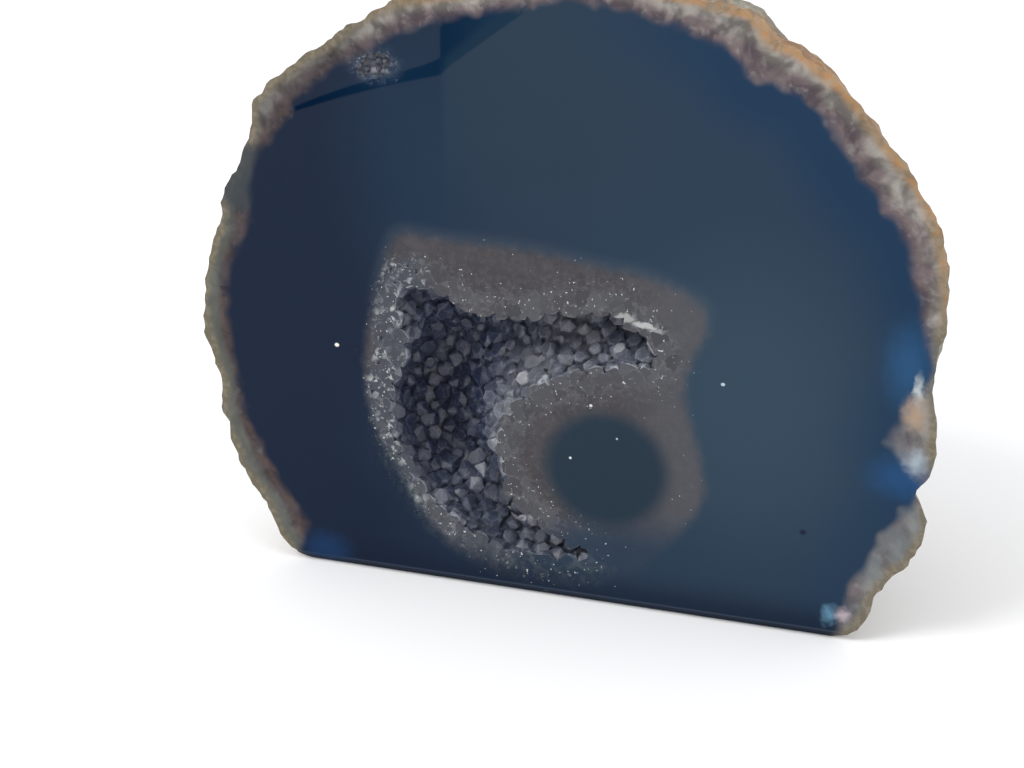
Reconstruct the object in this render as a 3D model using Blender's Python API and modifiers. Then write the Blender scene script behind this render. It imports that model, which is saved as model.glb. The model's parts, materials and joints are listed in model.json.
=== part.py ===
"""Blue agate geode half with a polished face, a flat-sawn base and a quartz-lined hollow.

Metres, +Z up. The polished face is the plane y = 0 and looks along -Y. The stone stands on
its sawn base at z = 0, and its rough rind bulges towards +Y.
"""

import math
import random

import bmesh
import bpy
import numpy
from mathutils import Matrix, Vector, noise

MM = 0.001

# The nodule, before it was sawn
STONE_DEPTH = 52 * MM
FULLNESS = 18 * MM          # how far in front of the face the nodule was at its widest
CENTRE_HEIGHT = 40 * MM     # height of the nodule's long axis above the base
OUTLINE_REACH = 9 * MM      # how far back the outline's notches run before they smooth out
CAP_DEPTH = 12 * MM         # rounded waste in front of the face, before the saw takes it off
SKIN_VOXEL = 1.2 * MM
SKIN_DETAIL = 0.062         # share of the voxel skin's triangles that are kept

# The rind's outline on the polished face: across and up, in millimetres, anticlockwise from
# the right. The points below zero are the part that the base cut took away.
FACE_OUTLINE = (
    (53.3, 47.5), (52.7, 54.5), (49.6, 62.0), (44.4, 68.2), (39.4, 74.0), (32.8, 78.8),
    (29.2, 80.2), (26.4, 83.2), (18.7, 84.9), (9.0, 85.9), (0.0, 85.7), (-9.0, 84.5),
    (-18.0, 83.0), (-23.4, 81.8), (-31.4, 77.0), (-39.8, 71.2), (-43.8, 67.4), (-44.8, 62.6),
    (-46.9, 58.0), (-49.6, 52.6), (-50.2, 48.6), (-52.2, 44.0), (-53.1, 38.0), (-52.7, 32.0),
    (-50.8, 26.0), (-50.5, 20.8), (-47.6, 12.6), (-43.8, 7.4), (-42.4, 3.6), (-38.6, 0.2),
    (-30.0, -5.0), (-12.0, -10.0), (10.0, -10.5), (30.0, -6.5), (41.4, 0.0), (44.8, 3.6),
    (46.6, 8.2), (50.6, 13.4), (52.2, 18.4), (51.2, 22.6), (52.6, 29.0), (52.4, 34.0),
    (51.4, 38.4), (52.6, 42.4),
)

# Rough skin: height and spacing of each kind of lump
SWELL_HEIGHT, SWELL_SPACING = 2.6 * MM, 30 * MM
LUMP_HEIGHT, LUMP_SPACING = 1.5 * MM, 11 * MM
KNOB_HEIGHT, KNOB_SPACING = 0.9 * MM, 5.5 * MM
SKIN_FADE = 5 * MM          # the skin's lumps start this far behind the sawn face

BASE_BEVEL = 0.9 * MM       # ground edge between the face and the base

# The hollow along its centre line: across, up and half-width on the face, in millimetres, then
# how far its deep end moves across and up for each millimetre of depth. It runs along the upper
# arm, down the wide left side and out along the lower arm. The short line is its upper corner.
HOLLOW_LINE = (
    (13.0, 36.9, 2.6, 0.0, 0.3), (8.8, 38.2, 4.2, 0.0, 0.3), (3.2, 37.2, 5.0, 0.0, 0.3),
    (-3.6, 35.3, 5.6, -0.1, 0.3), (-10.0, 32.8, 7.6, -0.2, 0.2), (-14.6, 28.6, 8.9, -0.4, 0.1),
    (-15.8, 22.6, 8.5, -0.4, 0.0), (-13.8, 16.8, 7.1, -0.3, 0.0), (-10.0, 12.5, 5.2, -0.2, 0.0),
    (-5.4, 9.4, 4.0, 0.0, 0.0), (-0.6, 7.7, 2.8, 0.0, 0.1), (4.2, 6.8, 1.6, 0.0, 0.1),
)
HOLLOW_CORNER = ((-13.0, 33.5, 7.0, -0.3, 0.2), (-18.2, 38.2, 4.8, -0.2, 0.1))
STEPS_PER_SPAN = 4
HOLLOW_STRETCH = 1.8        # depth of the hollow for each unit of half-width

# The small open pit near the upper left rind: across, up, half-width, half-height and depth
PIT = (-26.3, 73.9, 2.9, 1.5, 1.6)
CRUST_THICKNESS = 2.6 * MM
CRUST_GAP = 0.3 * MM        # clearance between the crust and the stone

# The crystals
CRYSTAL_SEED = 41
CRYSTAL_SPACING = 3.9 * MM
CRYSTAL_RADIUS = 2.25 * MM
CRYSTAL_SHANK = 0.35 * MM   # straight six-sided length above the crust
CRYSTAL_TIP = 1.75 * MM     # height of the pointed end
CRYSTAL_ROOT = 1.1 * MM     # length sunk in the crust
CRYSTAL_LEAN = 16           # degrees, the most that a crystal leans

VOXEL = 0.9 * MM
WALL_DETAIL = 0.08          # share of the voxel wall's triangles that are kept
SAW_SIZE = 0.4              # side of the blocks that stand for the saw cuts

AGATE_BLUE = (0.012, 0.035, 0.085, 1.0)
QUARTZ_GREY = (0.16, 0.16, 0.19, 1.0)


def clear_scene():
    for obj in list(bpy.data.objects):
        bpy.data.objects.remove(obj, do_unlink=True)


def new_collection(name, hidden=False):
    collection = bpy.data.collections.new(name)
    collection.hide_render = hidden
    bpy.context.scene.collection.children.link(collection)
    return collection


def material(name, colour, roughness):
    made = bpy.data.materials.new(name)
    made.use_nodes = True
    shader = made.node_tree.nodes["Principled BSDF"]
    shader.inputs["Base Color"].default_value = colour
    shader.inputs["Roughness"].default_value = roughness
    shader.inputs["Metallic"].default_value = 0.0
    return made


def object_from(bm, name, collection):
    mesh = bpy.data.meshes.new(name)
    bm.to_mesh(mesh)
    bm.free()
    obj = bpy.data.objects.new(name, mesh)
    collection.objects.link(obj)
    return obj


def cutter_style(obj):
    obj.hide_render = True
    obj.display_type = "WIRE"
    return obj


def apply_modifiers(obj):
    graph = bpy.context.evaluated_depsgraph_get()
    mesh = bpy.data.meshes.new_from_object(obj.evaluated_get(graph))
    obj.modifiers.clear()
    obj.data = mesh
    return obj


def boolean(obj, operation, other):
    cut = obj.modifiers.new(operation.title(), "BOOLEAN")
    cut.operation = operation
    cut.object = other
    cut.solver = "EXACT"
    return apply_modifiers(obj)


def smooth_through(points, steps, closed):
    """Points of a Catmull-Rom curve through the given points, of any number of values each."""
    knots = [numpy.array(point) for point in points]
    spans = len(knots) if closed else len(knots) - 1

    def knot(i):
        return knots[i % len(knots)] if closed else knots[min(max(i, 0), len(knots) - 1)]

    made = []
    for span in range(spans):
        a, b, c, d = (knot(span + i) for i in (-1, 0, 1, 2))
        for step in range(steps):
            t = step / steps
            made.append(0.5 * (2 * b + (c - a) * t + (2 * a - 5 * b + 4 * c - d) * t * t
                               + (3 * b - a - 3 * c + d) * t * t * t))
    if not closed:
        made.append(knots[-1])
    return made


def rind_radii():
    """Two functions of the angle round the nodule's axis: the outline's radius as it is on the
    face, with its notches, and the same radius evened out."""
    flat = [(x * MM, z * MM - CENTRE_HEIGHT, 0.0) for x, z in FACE_OUTLINE]
    dense = smooth_through(flat, 8, True)
    polar = sorted((math.atan2(p[1], p[0]), math.hypot(p[0], p[1])) for p in dense)
    first, last = polar[0], polar[-1]
    polar = [(last[0] - math.tau, last[1])] + polar + [(first[0] + math.tau, first[1])]

    def radius(angle):
        for (a0, r0), (a1, r1) in zip(polar, polar[1:]):
            if a0 <= angle <= a1:
                return r0 + (r1 - r0) * (angle - a0) / max(a1 - a0, 1e-9)
        return polar[-1][1]

    def even_radius(angle):
        spread = [math.radians(step) for step in range(-18, 19, 6)]
        return sum(radius(math.remainder(angle + turn, math.tau)) for turn in spread) / len(spread)

    return radius, even_radius


def swelling(y):
    """How wide the nodule is at a depth behind the face, as a share of its width there."""
    far = STONE_DEPTH + FULLNESS
    return math.sqrt(max(0.0, 1 - ((y + FULLNESS) / far) ** 2) / (1 - (FULLNESS / far) ** 2))


def skin_height(place):
    """Height of the rough skin at a place: broad swells, rounded lumps and small knobs."""
    swell = noise.noise(place / SWELL_SPACING) * SWELL_HEIGHT
    lump = (0.45 - noise.voronoi(place / LUMP_SPACING)[0][0]) * LUMP_HEIGHT * 2
    knob = noise.noise(place / KNOB_SPACING + Vector((7, 3, 1))) * KNOB_HEIGHT
    return swell + lump + knob


def saw_block(name, centre, collection, turn=0.0):
    bm = bmesh.new()
    bmesh.ops.create_cube(bm, size=SAW_SIZE)
    turned = Matrix.Rotation(turn, 4, "X")
    bm.transform(Matrix.Translation(centre) @ turned)
    return cutter_style(object_from(bm, name, collection))


def nodule(collection):
    """The rough nodule before the saw cuts: a sphere drawn out to the outline, with its skin."""
    notched, even = rind_radii()
    bm = bmesh.new()
    bmesh.ops.create_uvsphere(
        bm, u_segments=240, v_segments=120, radius=1.0,
        matrix=Matrix.Rotation(math.radians(90), 4, "X"),
    )
    for vert in bm.verts:
        angle = math.atan2(vert.co.z, vert.co.x)
        waste = vert.co.y < 0
        y = vert.co.y * (CAP_DEPTH if waste else STONE_DEPTH)
        notches = math.exp(-abs(y) / OUTLINE_REACH)
        radius = even(angle) + (notched(angle) - even(angle)) * notches
        across = radius * (math.sqrt(max(0.0, 1 - vert.co.y ** 2)) if waste else swelling(y))
        base = Vector((math.cos(angle) * across, y, math.sin(angle) * across))
        outward = Vector((base.x, base.y * 0.8, base.z)).normalized()
        base += outward * skin_height(base) * min(1.0, max(0.0, y / SKIN_FADE))
        vert.co = base + Vector((0, 0, CENTRE_HEIGHT))
    obj = object_from(bm, "agate_stone", collection)
    remesh = obj.modifiers.new("Even", "REMESH")
    remesh.mode = "VOXEL"
    remesh.voxel_size = SKIN_VOXEL
    thin = obj.modifiers.new("Thin", "DECIMATE")
    thin.ratio = SKIN_DETAIL
    return apply_modifiers(obj)


def hollow_form(name, grown, collection):
    """The hollow as a smooth solid, grown by a distance all round: a row of drawn-out balls."""
    bm = bmesh.new()
    balls = smooth_through(HOLLOW_LINE, STEPS_PER_SPAN, False)
    balls += smooth_through(HOLLOW_CORNER, STEPS_PER_SPAN, False)
    for x, z, half_width, lean_across, lean_up in balls:
        wide = half_width * MM + grown
        deep = half_width * MM * HOLLOW_STRETCH + grown
        place = Matrix.Translation((x * MM, 0, z * MM))
        place[0][1], place[2][1] = lean_across, lean_up
        size = Matrix.Diagonal((wide, deep, wide, 1))
        bmesh.ops.create_uvsphere(bm, u_segments=20, v_segments=14, radius=1.0, matrix=place @ size)
    obj = object_from(bm, name, collection)
    remesh = obj.modifiers.new("Join", "REMESH")
    remesh.mode = "VOXEL"
    remesh.voxel_size = VOXEL
    smooth = obj.modifiers.new("Smooth", "SMOOTH")
    smooth.iterations = 3
    thin = obj.modifiers.new("Thin", "DECIMATE")
    thin.ratio = WALL_DETAIL
    return cutter_style(apply_modifiers(obj))


def half_width_at(place, line):
    """Half-width of the hollow at the point of its centre line nearest to a place."""
    nearest = min(line, key=lambda p: math.hypot(p[0] * MM - place.x, p[1] * MM - place.z))
    return nearest[2] * MM


def wall_samples(wall, rng):
    """Random places on the hollow's wall, evenly spread, each with its inward direction."""
    places = []
    for face in wall.data.polygons:
        a, b, c = (wall.data.vertices[i].co for i in face.vertices[:3])
        for _ in range(math.ceil(face.area / (0.3 * MM * MM))):
            u, v = rng.random(), rng.random()
            if u + v > 1:
                u, v = 1 - u, 1 - v
            places.append((a + (b - a) * u + (c - a) * v, -face.normal))
    rng.shuffle(places)
    return places


def crystal_seats(wall, rng):
    """Places on the hollow's wall a crystal's spacing apart, each with its inward direction."""
    line = smooth_through(HOLLOW_LINE, STEPS_PER_SPAN, False)
    seats = []
    for place, inward in wall_samples(wall, rng):
        if place.y < -0.5 * CRYSTAL_RADIUS:
            continue
        scale = min(1.0, max(0.5, half_width_at(place, line) / (5 * MM)))
        apart = CRYSTAL_SPACING * scale
        if all((place - seat[0]).length > apart for seat in seats):
            seats.append((place, inward, scale))
    return seats


def crystal(place, direction, scale, rng):
    """One six-sided quartz crystal: a short shank with a blunt pyramid on it."""
    radius = CRYSTAL_RADIUS * scale * rng.uniform(0.85, 1.15)
    shank = (CRYSTAL_ROOT + CRYSTAL_SHANK * rng.uniform(0.4, 1.6)) * scale
    tip = CRYSTAL_TIP * scale * rng.uniform(0.8, 1.2)
    bm = bmesh.new()
    bmesh.ops.create_cone(
        bm, cap_ends=True, segments=6, radius1=radius, radius2=radius * 0.97, depth=shank,
        matrix=Matrix.Translation((0, 0, shank / 2)),
    )
    top = max(bm.faces, key=lambda face: face.calc_center_median().z)
    apex = Vector((rng.uniform(-0.25, 0.25) * radius, rng.uniform(-0.25, 0.25) * radius, shank + tip))
    bmesh.ops.poke(bm, faces=[top])
    peak = max(bm.verts, key=lambda vert: len(vert.link_edges) * 10 + vert.co.z)
    peak.co = apex
    lean = math.radians(CRYSTAL_LEAN)
    turn = Matrix.Rotation(rng.uniform(0, math.tau), 4, "Z")
    tilt = Matrix.Rotation(rng.uniform(-lean, lean), 4, "X") @ Matrix.Rotation(rng.uniform(-lean, lean), 4, "Y")
    aim = direction.to_track_quat("Z", "Y").to_matrix().to_4x4()
    sunk = place - direction * CRYSTAL_ROOT * scale
    bm.transform(Matrix.Translation(sunk) @ aim @ tilt @ turn)
    return bm


def fuse_crystals(crust, wall, collection):
    """Joins every crystal to the crust, so that the crust stays one solid."""
    rng = random.Random(CRYSTAL_SEED)
    crystals = new_collection("crystals", hidden=True)
    for place, direction, scale in crystal_seats(wall, rng):
        cutter_style(object_from(crystal(place, direction, scale, rng), "crystal", crystals))
    join = crust.modifiers.new("Fuse", "BOOLEAN")
    join.operation = "UNION"
    join.operand_type = "COLLECTION"
    join.collection = crystals
    join.solver = "EXACT"
    apply_modifiers(crust)
    for obj in list(crystals.objects):
        bpy.data.objects.remove(obj, do_unlink=True)
    bpy.data.collections.remove(crystals)
    return crust


def drop_sealed_gaps(obj):
    """Removes the closed gaps that neighbouring crystals can trap between them."""
    bm = bmesh.new()
    bm.from_mesh(obj.data)
    unseen = set(bm.faces)
    shells = []
    while unseen:
        shell = {unseen.pop()}
        front = list(shell)
        while front:
            face = front.pop()
            for edge in face.edges:
                for other in edge.link_faces:
                    if other in unseen:
                        unseen.discard(other)
                        shell.add(other)
                        front.append(other)
        shells.append(shell)
    shells.sort(key=len)
    for shell in shells[:-1]:
        bmesh.ops.delete(bm, geom=list(shell), context="FACES")
    bm.to_mesh(obj.data)
    bm.free()


def pocket_form(crust_blank, collection):
    """The pocket that the crust sits in: the crust's outside, grown by the clearance."""
    pocket = bpy.data.objects.new("pocket", crust_blank.data.copy())
    collection.objects.link(pocket)
    grow = pocket.modifiers.new("Clearance", "DISPLACE")
    grow.mid_level = 0.0
    grow.strength = CRUST_GAP
    return cutter_style(apply_modifiers(pocket))


def pit_form(collection):
    x, z, half_width, half_height, depth = (value * MM for value in PIT)
    bm = bmesh.new()
    place = Matrix.Translation((x, 0, z)) @ Matrix.Rotation(math.radians(-18), 4, "Y")
    size = Matrix.Diagonal((half_width, depth, half_height, 1))
    bmesh.ops.create_icosphere(bm, subdivisions=2, radius=1.0, matrix=place @ size)
    return cutter_style(object_from(bm, "pit", collection))


def build_stone(parts, cutters, crust_blank):
    stone = nodule(parts)
    half = SAW_SIZE / 2
    boolean(stone, "DIFFERENCE", saw_block("face_saw", (0, -half, 0), cutters))
    boolean(stone, "DIFFERENCE", saw_block("base_saw", (0, 0, -half), cutters))
    step = BASE_BEVEL * math.sqrt(0.5)
    out = half + step
    turn = math.radians(45)
    centre = (0, -out * math.sqrt(0.5) + step * math.sqrt(0.5), -out * math.sqrt(0.5) + step * math.sqrt(0.5))
    boolean(stone, "DIFFERENCE", saw_block("edge_saw", centre, cutters, turn))
    boolean(stone, "DIFFERENCE", pocket_form(crust_blank, cutters))
    boolean(stone, "DIFFERENCE", pit_form(cutters))
    stone.data.materials.append(material("agate", AGATE_BLUE, 0.08))
    return stone


def build_crust(parts, cutters, crust_blank):
    wall = hollow_form("hollow", 0.0, cutters)
    crust = bpy.data.objects.new("crystal_crust", crust_blank.data.copy())
    parts.objects.link(crust)
    boolean(crust, "DIFFERENCE", wall)
    fuse_crystals(crust, wall, cutters)
    boolean(crust, "DIFFERENCE", bpy.data.objects["face_saw"])
    drop_sealed_gaps(crust)
    crust.data.materials.clear()
    crust.data.materials.append(material("quartz", QUARTZ_GREY, 0.15))
    return crust


def centre_on_base(parts):
    """Moves the parts so that the middle of their bounds stands over the origin."""
    corners = [vert.co for obj in parts.objects for vert in obj.data.vertices]
    middle_x = (min(p.x for p in corners) + max(p.x for p in corners)) / 2
    middle_y = (min(p.y for p in corners) + max(p.y for p in corners)) / 2
    for obj in parts.objects:
        obj.data.transform(Matrix.Translation((-middle_x, -middle_y, 0)))


def main():
    clear_scene()
    parts = new_collection("agate_geode_half")
    cutters = new_collection("cutters", hidden=True)
    crust_blank = hollow_form("crust_blank", CRUST_THICKNESS, cutters)
    build_stone(parts, cutters, crust_blank)
    build_crust(parts, cutters, crust_blank)
    centre_on_base(parts)


main()
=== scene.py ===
"""Agate geode half: the polished stone, its quartz crystals and a plain stage."""

import json
import math
import random

import bmesh
import bpy
import numpy
from mathutils import Matrix, Vector, noise

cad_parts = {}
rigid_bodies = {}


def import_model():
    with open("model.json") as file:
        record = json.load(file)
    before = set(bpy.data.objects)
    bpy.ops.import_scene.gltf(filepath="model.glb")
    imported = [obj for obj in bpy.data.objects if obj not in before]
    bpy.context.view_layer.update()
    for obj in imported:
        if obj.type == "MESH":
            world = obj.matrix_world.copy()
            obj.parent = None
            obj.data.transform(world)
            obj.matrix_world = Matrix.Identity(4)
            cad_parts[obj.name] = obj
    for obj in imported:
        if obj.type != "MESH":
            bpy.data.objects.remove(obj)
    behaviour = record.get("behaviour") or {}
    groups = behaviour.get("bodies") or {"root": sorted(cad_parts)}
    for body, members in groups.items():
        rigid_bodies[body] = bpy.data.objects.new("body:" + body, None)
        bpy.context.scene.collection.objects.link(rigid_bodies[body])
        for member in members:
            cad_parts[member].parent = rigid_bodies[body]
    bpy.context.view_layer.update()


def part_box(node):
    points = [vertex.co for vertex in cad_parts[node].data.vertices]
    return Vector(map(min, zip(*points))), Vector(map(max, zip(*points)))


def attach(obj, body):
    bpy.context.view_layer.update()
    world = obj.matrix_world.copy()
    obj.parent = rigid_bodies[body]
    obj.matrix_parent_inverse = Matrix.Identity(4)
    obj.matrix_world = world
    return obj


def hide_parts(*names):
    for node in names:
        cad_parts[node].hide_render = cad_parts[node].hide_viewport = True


bl_info = {
    "name": "Agate Geode Half",
    "version": (1, 0, 0),
    "blender": (4, 5, 0),
    "location": "View3D > Sidebar > Geode",
    "description": "Builds a sawn agate geode half with a polished face and a crystal lining",
    "category": "Add Mesh",
}

MM = 0.001

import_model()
STONE_LOW, STONE_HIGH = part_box("agate_stone")

# Where the polished face's own measurements start: the middle of the sawn base's front edge
FACE_Y = STONE_LOW[1]
ACROSS_ZERO = -0.0514 * MM

# The nodule's axis, its depth without the lumps at the back, how full its shoulder is, and how far
# behind the face the outline's notches and the smooth band of the skin reach
CENTRE_HEIGHT = 40 * MM
BACK_LUMPS = 2.05 * MM
STONE_DEPTH = STONE_HIGH[1] - STONE_LOW[1] - BACK_LUMPS
FULLNESS = 18 * MM
OUTLINE_REACH = 9 * MM
SKIN_FADE = 5 * MM
FINE_SKIN_FADE = 1.2 * MM
ROUND_COUNT, DEEP_COUNT = 420, 130

# Lines on the polished face, across and up in millimetres, anticlockwise from the right
FACE_OUTLINE = (
    (53.3, 47.5), (52.7, 54.5), (49.6, 62.0), (44.4, 68.2), (39.4, 74.0), (32.8, 78.8),
    (29.2, 80.2), (26.4, 83.2), (18.7, 84.9), (9.0, 85.9), (0.0, 85.7), (-9.0, 84.5),
    (-18.0, 83.0), (-23.4, 81.8), (-31.4, 77.0), (-39.8, 71.2), (-43.8, 67.4), (-44.8, 62.6),
    (-46.9, 58.0), (-49.6, 52.6), (-50.2, 48.6), (-52.2, 44.0), (-53.1, 38.0), (-52.7, 32.0),
    (-50.8, 26.0), (-50.5, 20.8), (-47.6, 12.6), (-43.8, 7.4), (-42.4, 3.6), (-38.6, 0.2),
    (-30.0, -5.0), (-12.0, -10.0), (10.0, -10.5), (30.0, -6.5), (41.4, 0.0), (44.8, 3.6),
    (46.6, 8.2), (50.6, 13.4), (52.3, 18.4), (50.7, 22.2), (52.5, 25.6), (52.9, 30.5),
    (52.5, 35.0), (51.9, 38.8), (52.8, 42.4),
)
RIND_INNER = (
    (50.6, 41.0), (49.1, 48.2), (47.6, 52.7), (46.2, 56.5), (42.0, 61.9), (39.3, 65.6),
    (35.9, 70.4), (31.9, 73.3), (26.0, 74.8), (22.6, 78.4), (11.8, 81.6), (1.9, 82.9),
    (-7.5, 81.1), (-18.9, 78.4), (-28.0, 74.0), (-36.9, 67.7), (-38.5, 64.8), (-42.8, 59.3),
    (-44.4, 53.3), (-45.4, 48.1), (-47.7, 43.5), (-48.6, 38.2), (-48.0, 30.0), (-46.4, 21.8),
    (-42.1, 13.2), (-39.8, 10.4), (-37.5, 6.8), (-36.9, 4.6), (-37.5, -3.0), (-20.0, -9.0),
    (10.0, -9.0), (36.0, -5.0), (41.0, 4.3), (41.8, 8.0), (46.1, 16.5), (50.3, 22.4),
    (48.4, 25.2), (46.3, 28.5), (48.3, 34.8), (51.0, 38.6),
)
QUARTZ_OUTER = (
    (22.0, 40.6), (21.7, 44.0), (19.4, 45.7), (13.1, 47.9), (6.8, 48.5), (-3.2, 49.8),
    (-16.3, 50.2), (-22.2, 50.5), (-24.1, 47.7), (-25.7, 42.6), (-27.6, 35.9), (-28.0, 28.6),
    (-26.5, 21.3), (-22.8, 15.7), (-19.0, 9.4), (-15.2, 5.4), (-10.6, 2.6), (-4.6, 1.1),
    (1.4, 0.8), (7.3, 2.3), (11.7, 4.5), (15.3, 7.7), (18.7, 11.8), (21.5, 15.9),
    (22.2, 19.6), (21.3, 23.7), (20.4, 27.1), (19.1, 31.2), (19.6, 34.8), (20.5, 37.7),
)

# The hollow along its centre line: across, up and half-width on the face, in millimetres, then
# how far its deep end moves across and up for each millimetre of depth
HOLLOW_LINE = (
    (13.0, 36.9, 2.6, 0.0, 0.3), (8.8, 38.2, 4.2, 0.0, 0.3), (3.2, 37.2, 5.0, 0.0, 0.3),
    (-3.6, 35.3, 5.6, -0.1, 0.3), (-10.0, 32.8, 7.6, -0.2, 0.2), (-14.6, 28.6, 8.9, -0.4, 0.1),
    (-15.8, 22.6, 8.5, -0.4, 0.0), (-13.8, 16.8, 7.1, -0.3, 0.0), (-10.0, 12.5, 5.2, -0.2, 0.0),
    (-5.4, 9.4, 4.0, 0.0, 0.0), (-0.6, 7.7, 2.8, 0.0, 0.1), (4.2, 6.8, 1.6, 0.0, 0.1),
)
HOLLOW_CORNER = ((-13.0, 33.5, 7.0, -0.3, 0.2), (-19.0, 38.9, 4.9, -0.2, 0.1))
HOLLOW_STRETCH = 1.8
HOLLOW_VOXEL = 0.9 * MM

# The small pit: across, up, half-width, half-height and depth; the round core: across, up and
# half-sizes; and the rind's width on the sawn base, all in millimetres
SMALL_PIT = (-25.7, 73.3, 3.1, 1.8, 1.6)
SMALL_PIT_TURN = math.radians(-18)
CORE = (8.0, 19.8, 8.8, 8.1)
BASE_RIND = 4.5

# Chips in the quartz: how likely a chip stays, how far from the hollow the last one lies, and the
# smallest, largest and usual size, in millimetres
LEFT_CHIPS = (0.10, 3.6, (0.3, 1.0, 0.6))
LOW_CHIPS = (0.05, 3.0, (0.2, 0.8, 0.4))
OTHER_CHIPS = (0.02, 2.6, (0.15, 0.5, 0.25))
CHIP_TRIES = 9000

CRYSTAL_KINDS = 8
CRYSTAL_AIM = (0.1, -0.55, 0.12)
SAWN_STEP, CRYSTAL_STEP = 1.2 * MM, 0.8 * MM

# The picture that the camera's frame follows, and its dark reflection in the face: corners of two
# flat shapes in the picture, in pixels across and down
PICTURE_WIDTH, PICTURE_HEIGHT = 1024, 768
SENSOR = 36.0
DARK_WEDGE = (
    ((270, 118), (292, 112), (338, 98), (385, 86), (440, 75),
     (440, 58), (424, 65), (392, 74), (346, 87), (318, 97), (288, 109)),
    ((440, 75), (452, 64), (522, 14), (540, -20), (440, -20)),
)
CARD_AHEAD = 60 * MM

# Soft lamps: name, place, width of the square in metres and power in watts
LAMPS = (
    ("key", (-0.45, -0.75, 0.85), 0.5, 6.5),
    ("fill", (0.9, -0.5, 0.5), 0.8, 2.0),
)
LAMPS_AIM = (0, 0, 0.03)


class StoneSettings(bpy.types.PropertyGroup):
    """Sizes and colours of the stone"""

    swell: bpy.props.FloatProperty(
        name="Swell", description="Height of the rough back's broad swells",
        default=2.6 * MM, min=0.0, max=0.01, unit="LENGTH")
    lump: bpy.props.FloatProperty(
        name="Lump", description="Height of the rough back's rounded lumps",
        default=1.5 * MM, min=0.0, max=0.01, unit="LENGTH")
    knob: bpy.props.FloatProperty(
        name="Knob", description="Height of the rough back's small knobs",
        default=0.9 * MM, min=0.0, max=0.01, unit="LENGTH")
    bevel: bpy.props.FloatProperty(
        name="Ground edge", description="Width of the ground edge between the face and the base",
        default=0.9 * MM, min=0.0, max=0.005, unit="LENGTH")
    deep_blue: bpy.props.FloatVectorProperty(
        name="Deep blue", description="Colour of the agate on its darker side",
        subtype="COLOR", size=4, default=(0.0010, 0.0078, 0.0245, 1.0), min=0.0, max=1.0)
    soft_blue: bpy.props.FloatVectorProperty(
        name="Soft blue", description="Colour of the agate on its lighter side",
        subtype="COLOR", size=4, default=(0.0115, 0.0275, 0.052, 1.0), min=0.0, max=1.0)
    rim_blue: bpy.props.FloatVectorProperty(
        name="Rim blue", description="Colour of the agate next to the rind",
        subtype="COLOR", size=4, default=(0.003, 0.022, 0.056, 1.0), min=0.0, max=1.0)
    quartz: bpy.props.FloatVectorProperty(
        name="Quartz", description="Colour of the polished quartz round the hollow",
        subtype="COLOR", size=4, default=(0.042, 0.039, 0.043, 1.0), min=0.0, max=1.0)


class CrystalSettings(bpy.types.PropertyGroup):
    """Sizes and colours of the crystals"""

    spacing: bpy.props.FloatProperty(
        name="Spacing", description="Least distance between two crystals",
        default=2.2 * MM, min=0.5 * MM, max=0.01, unit="LENGTH")
    smallest: bpy.props.FloatProperty(
        name="Smallest", description="Radius of the smallest crystals",
        default=0.95 * MM, min=0.2 * MM, max=0.01, unit="LENGTH")
    largest: bpy.props.FloatProperty(
        name="Largest", description="Radius of the largest crystals",
        default=1.7 * MM, min=0.2 * MM, max=0.01, unit="LENGTH")
    lean: bpy.props.FloatProperty(
        name="Lean", description="How far a crystal may lean, as a share of its height",
        default=0.3, min=0.0, max=1.0, subtype="FACTOR")
    crust: bpy.props.FloatProperty(
        name="Crust", description="Thickness of the crust that the crystals grow from",
        default=2.6 * MM, min=1 * MM, max=0.01, unit="LENGTH")
    colour: bpy.props.FloatVectorProperty(
        name="Crystal", description="Colour of the crystals",
        subtype="COLOR", size=4, default=(0.125, 0.133, 0.152, 1.0), min=0.0, max=1.0)
    seed: bpy.props.IntProperty(
        name="Seed", description="Another number grows another set of crystals", default=3, min=0)


class StageSettings(bpy.types.PropertyGroup):
    """The floor, the lights and the camera"""

    azimuth: bpy.props.FloatProperty(
        name="Azimuth", description="How far the camera stands to the right of the face",
        default=math.radians(21.344), subtype="ANGLE")
    elevation: bpy.props.FloatProperty(
        name="Elevation", description="How high the camera looks from",
        default=math.radians(18.0), subtype="ANGLE")
    distance: bpy.props.FloatProperty(
        name="Distance", description="Camera's distance from the point that it looks at",
        default=0.330, unit="LENGTH")
    lens: bpy.props.FloatProperty(
        name="Lens", description="Camera's focal length in millimetres", default=84.62)
    floor: bpy.props.FloatVectorProperty(
        name="Floor", description="Colour of the floor",
        subtype="COLOR", size=4, default=(0.93, 0.93, 0.93, 1.0), min=0.0, max=1.0)


def smooth_through(points, steps, closed):
    """Points of a Catmull-Rom curve through the given points, of any number of values each."""
    knots = [numpy.array(point) for point in points]
    spans = len(knots) if closed else len(knots) - 1
    made = []
    for span in range(spans):
        if closed:
            a, b, c, d = (knots[(span + i) % len(knots)] for i in (-1, 0, 1, 2))
        else:
            a, b, c, d = (knots[min(max(span + i, 0), spans)] for i in (-1, 0, 1, 2))
        for step in range(steps):
            t = step / steps
            made.append(0.5 * (2 * b + (c - a) * t + (2 * a - 5 * b + 4 * c - d) * t * t
                               + (3 * b - a - 3 * c + d) * t * t * t))
    if not closed:
        made.append(knots[-1])
    return numpy.array(made)


def link(obj):
    bpy.context.scene.collection.objects.link(obj)
    return obj


def object_from(bm, name):
    mesh = bpy.data.meshes.new(name)
    bm.to_mesh(mesh)
    bm.free()
    return link(bpy.data.objects.new(name, mesh))


def apply_modifiers(obj):
    """Turns an object's evaluated shape into its own plain mesh."""
    graph = bpy.context.evaluated_depsgraph_get()
    mesh = bpy.data.meshes.new_from_object(obj.evaluated_get(graph))
    old = obj.data
    obj.modifiers.clear()
    obj.data = mesh
    bpy.data.meshes.remove(old)
    return obj


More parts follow.
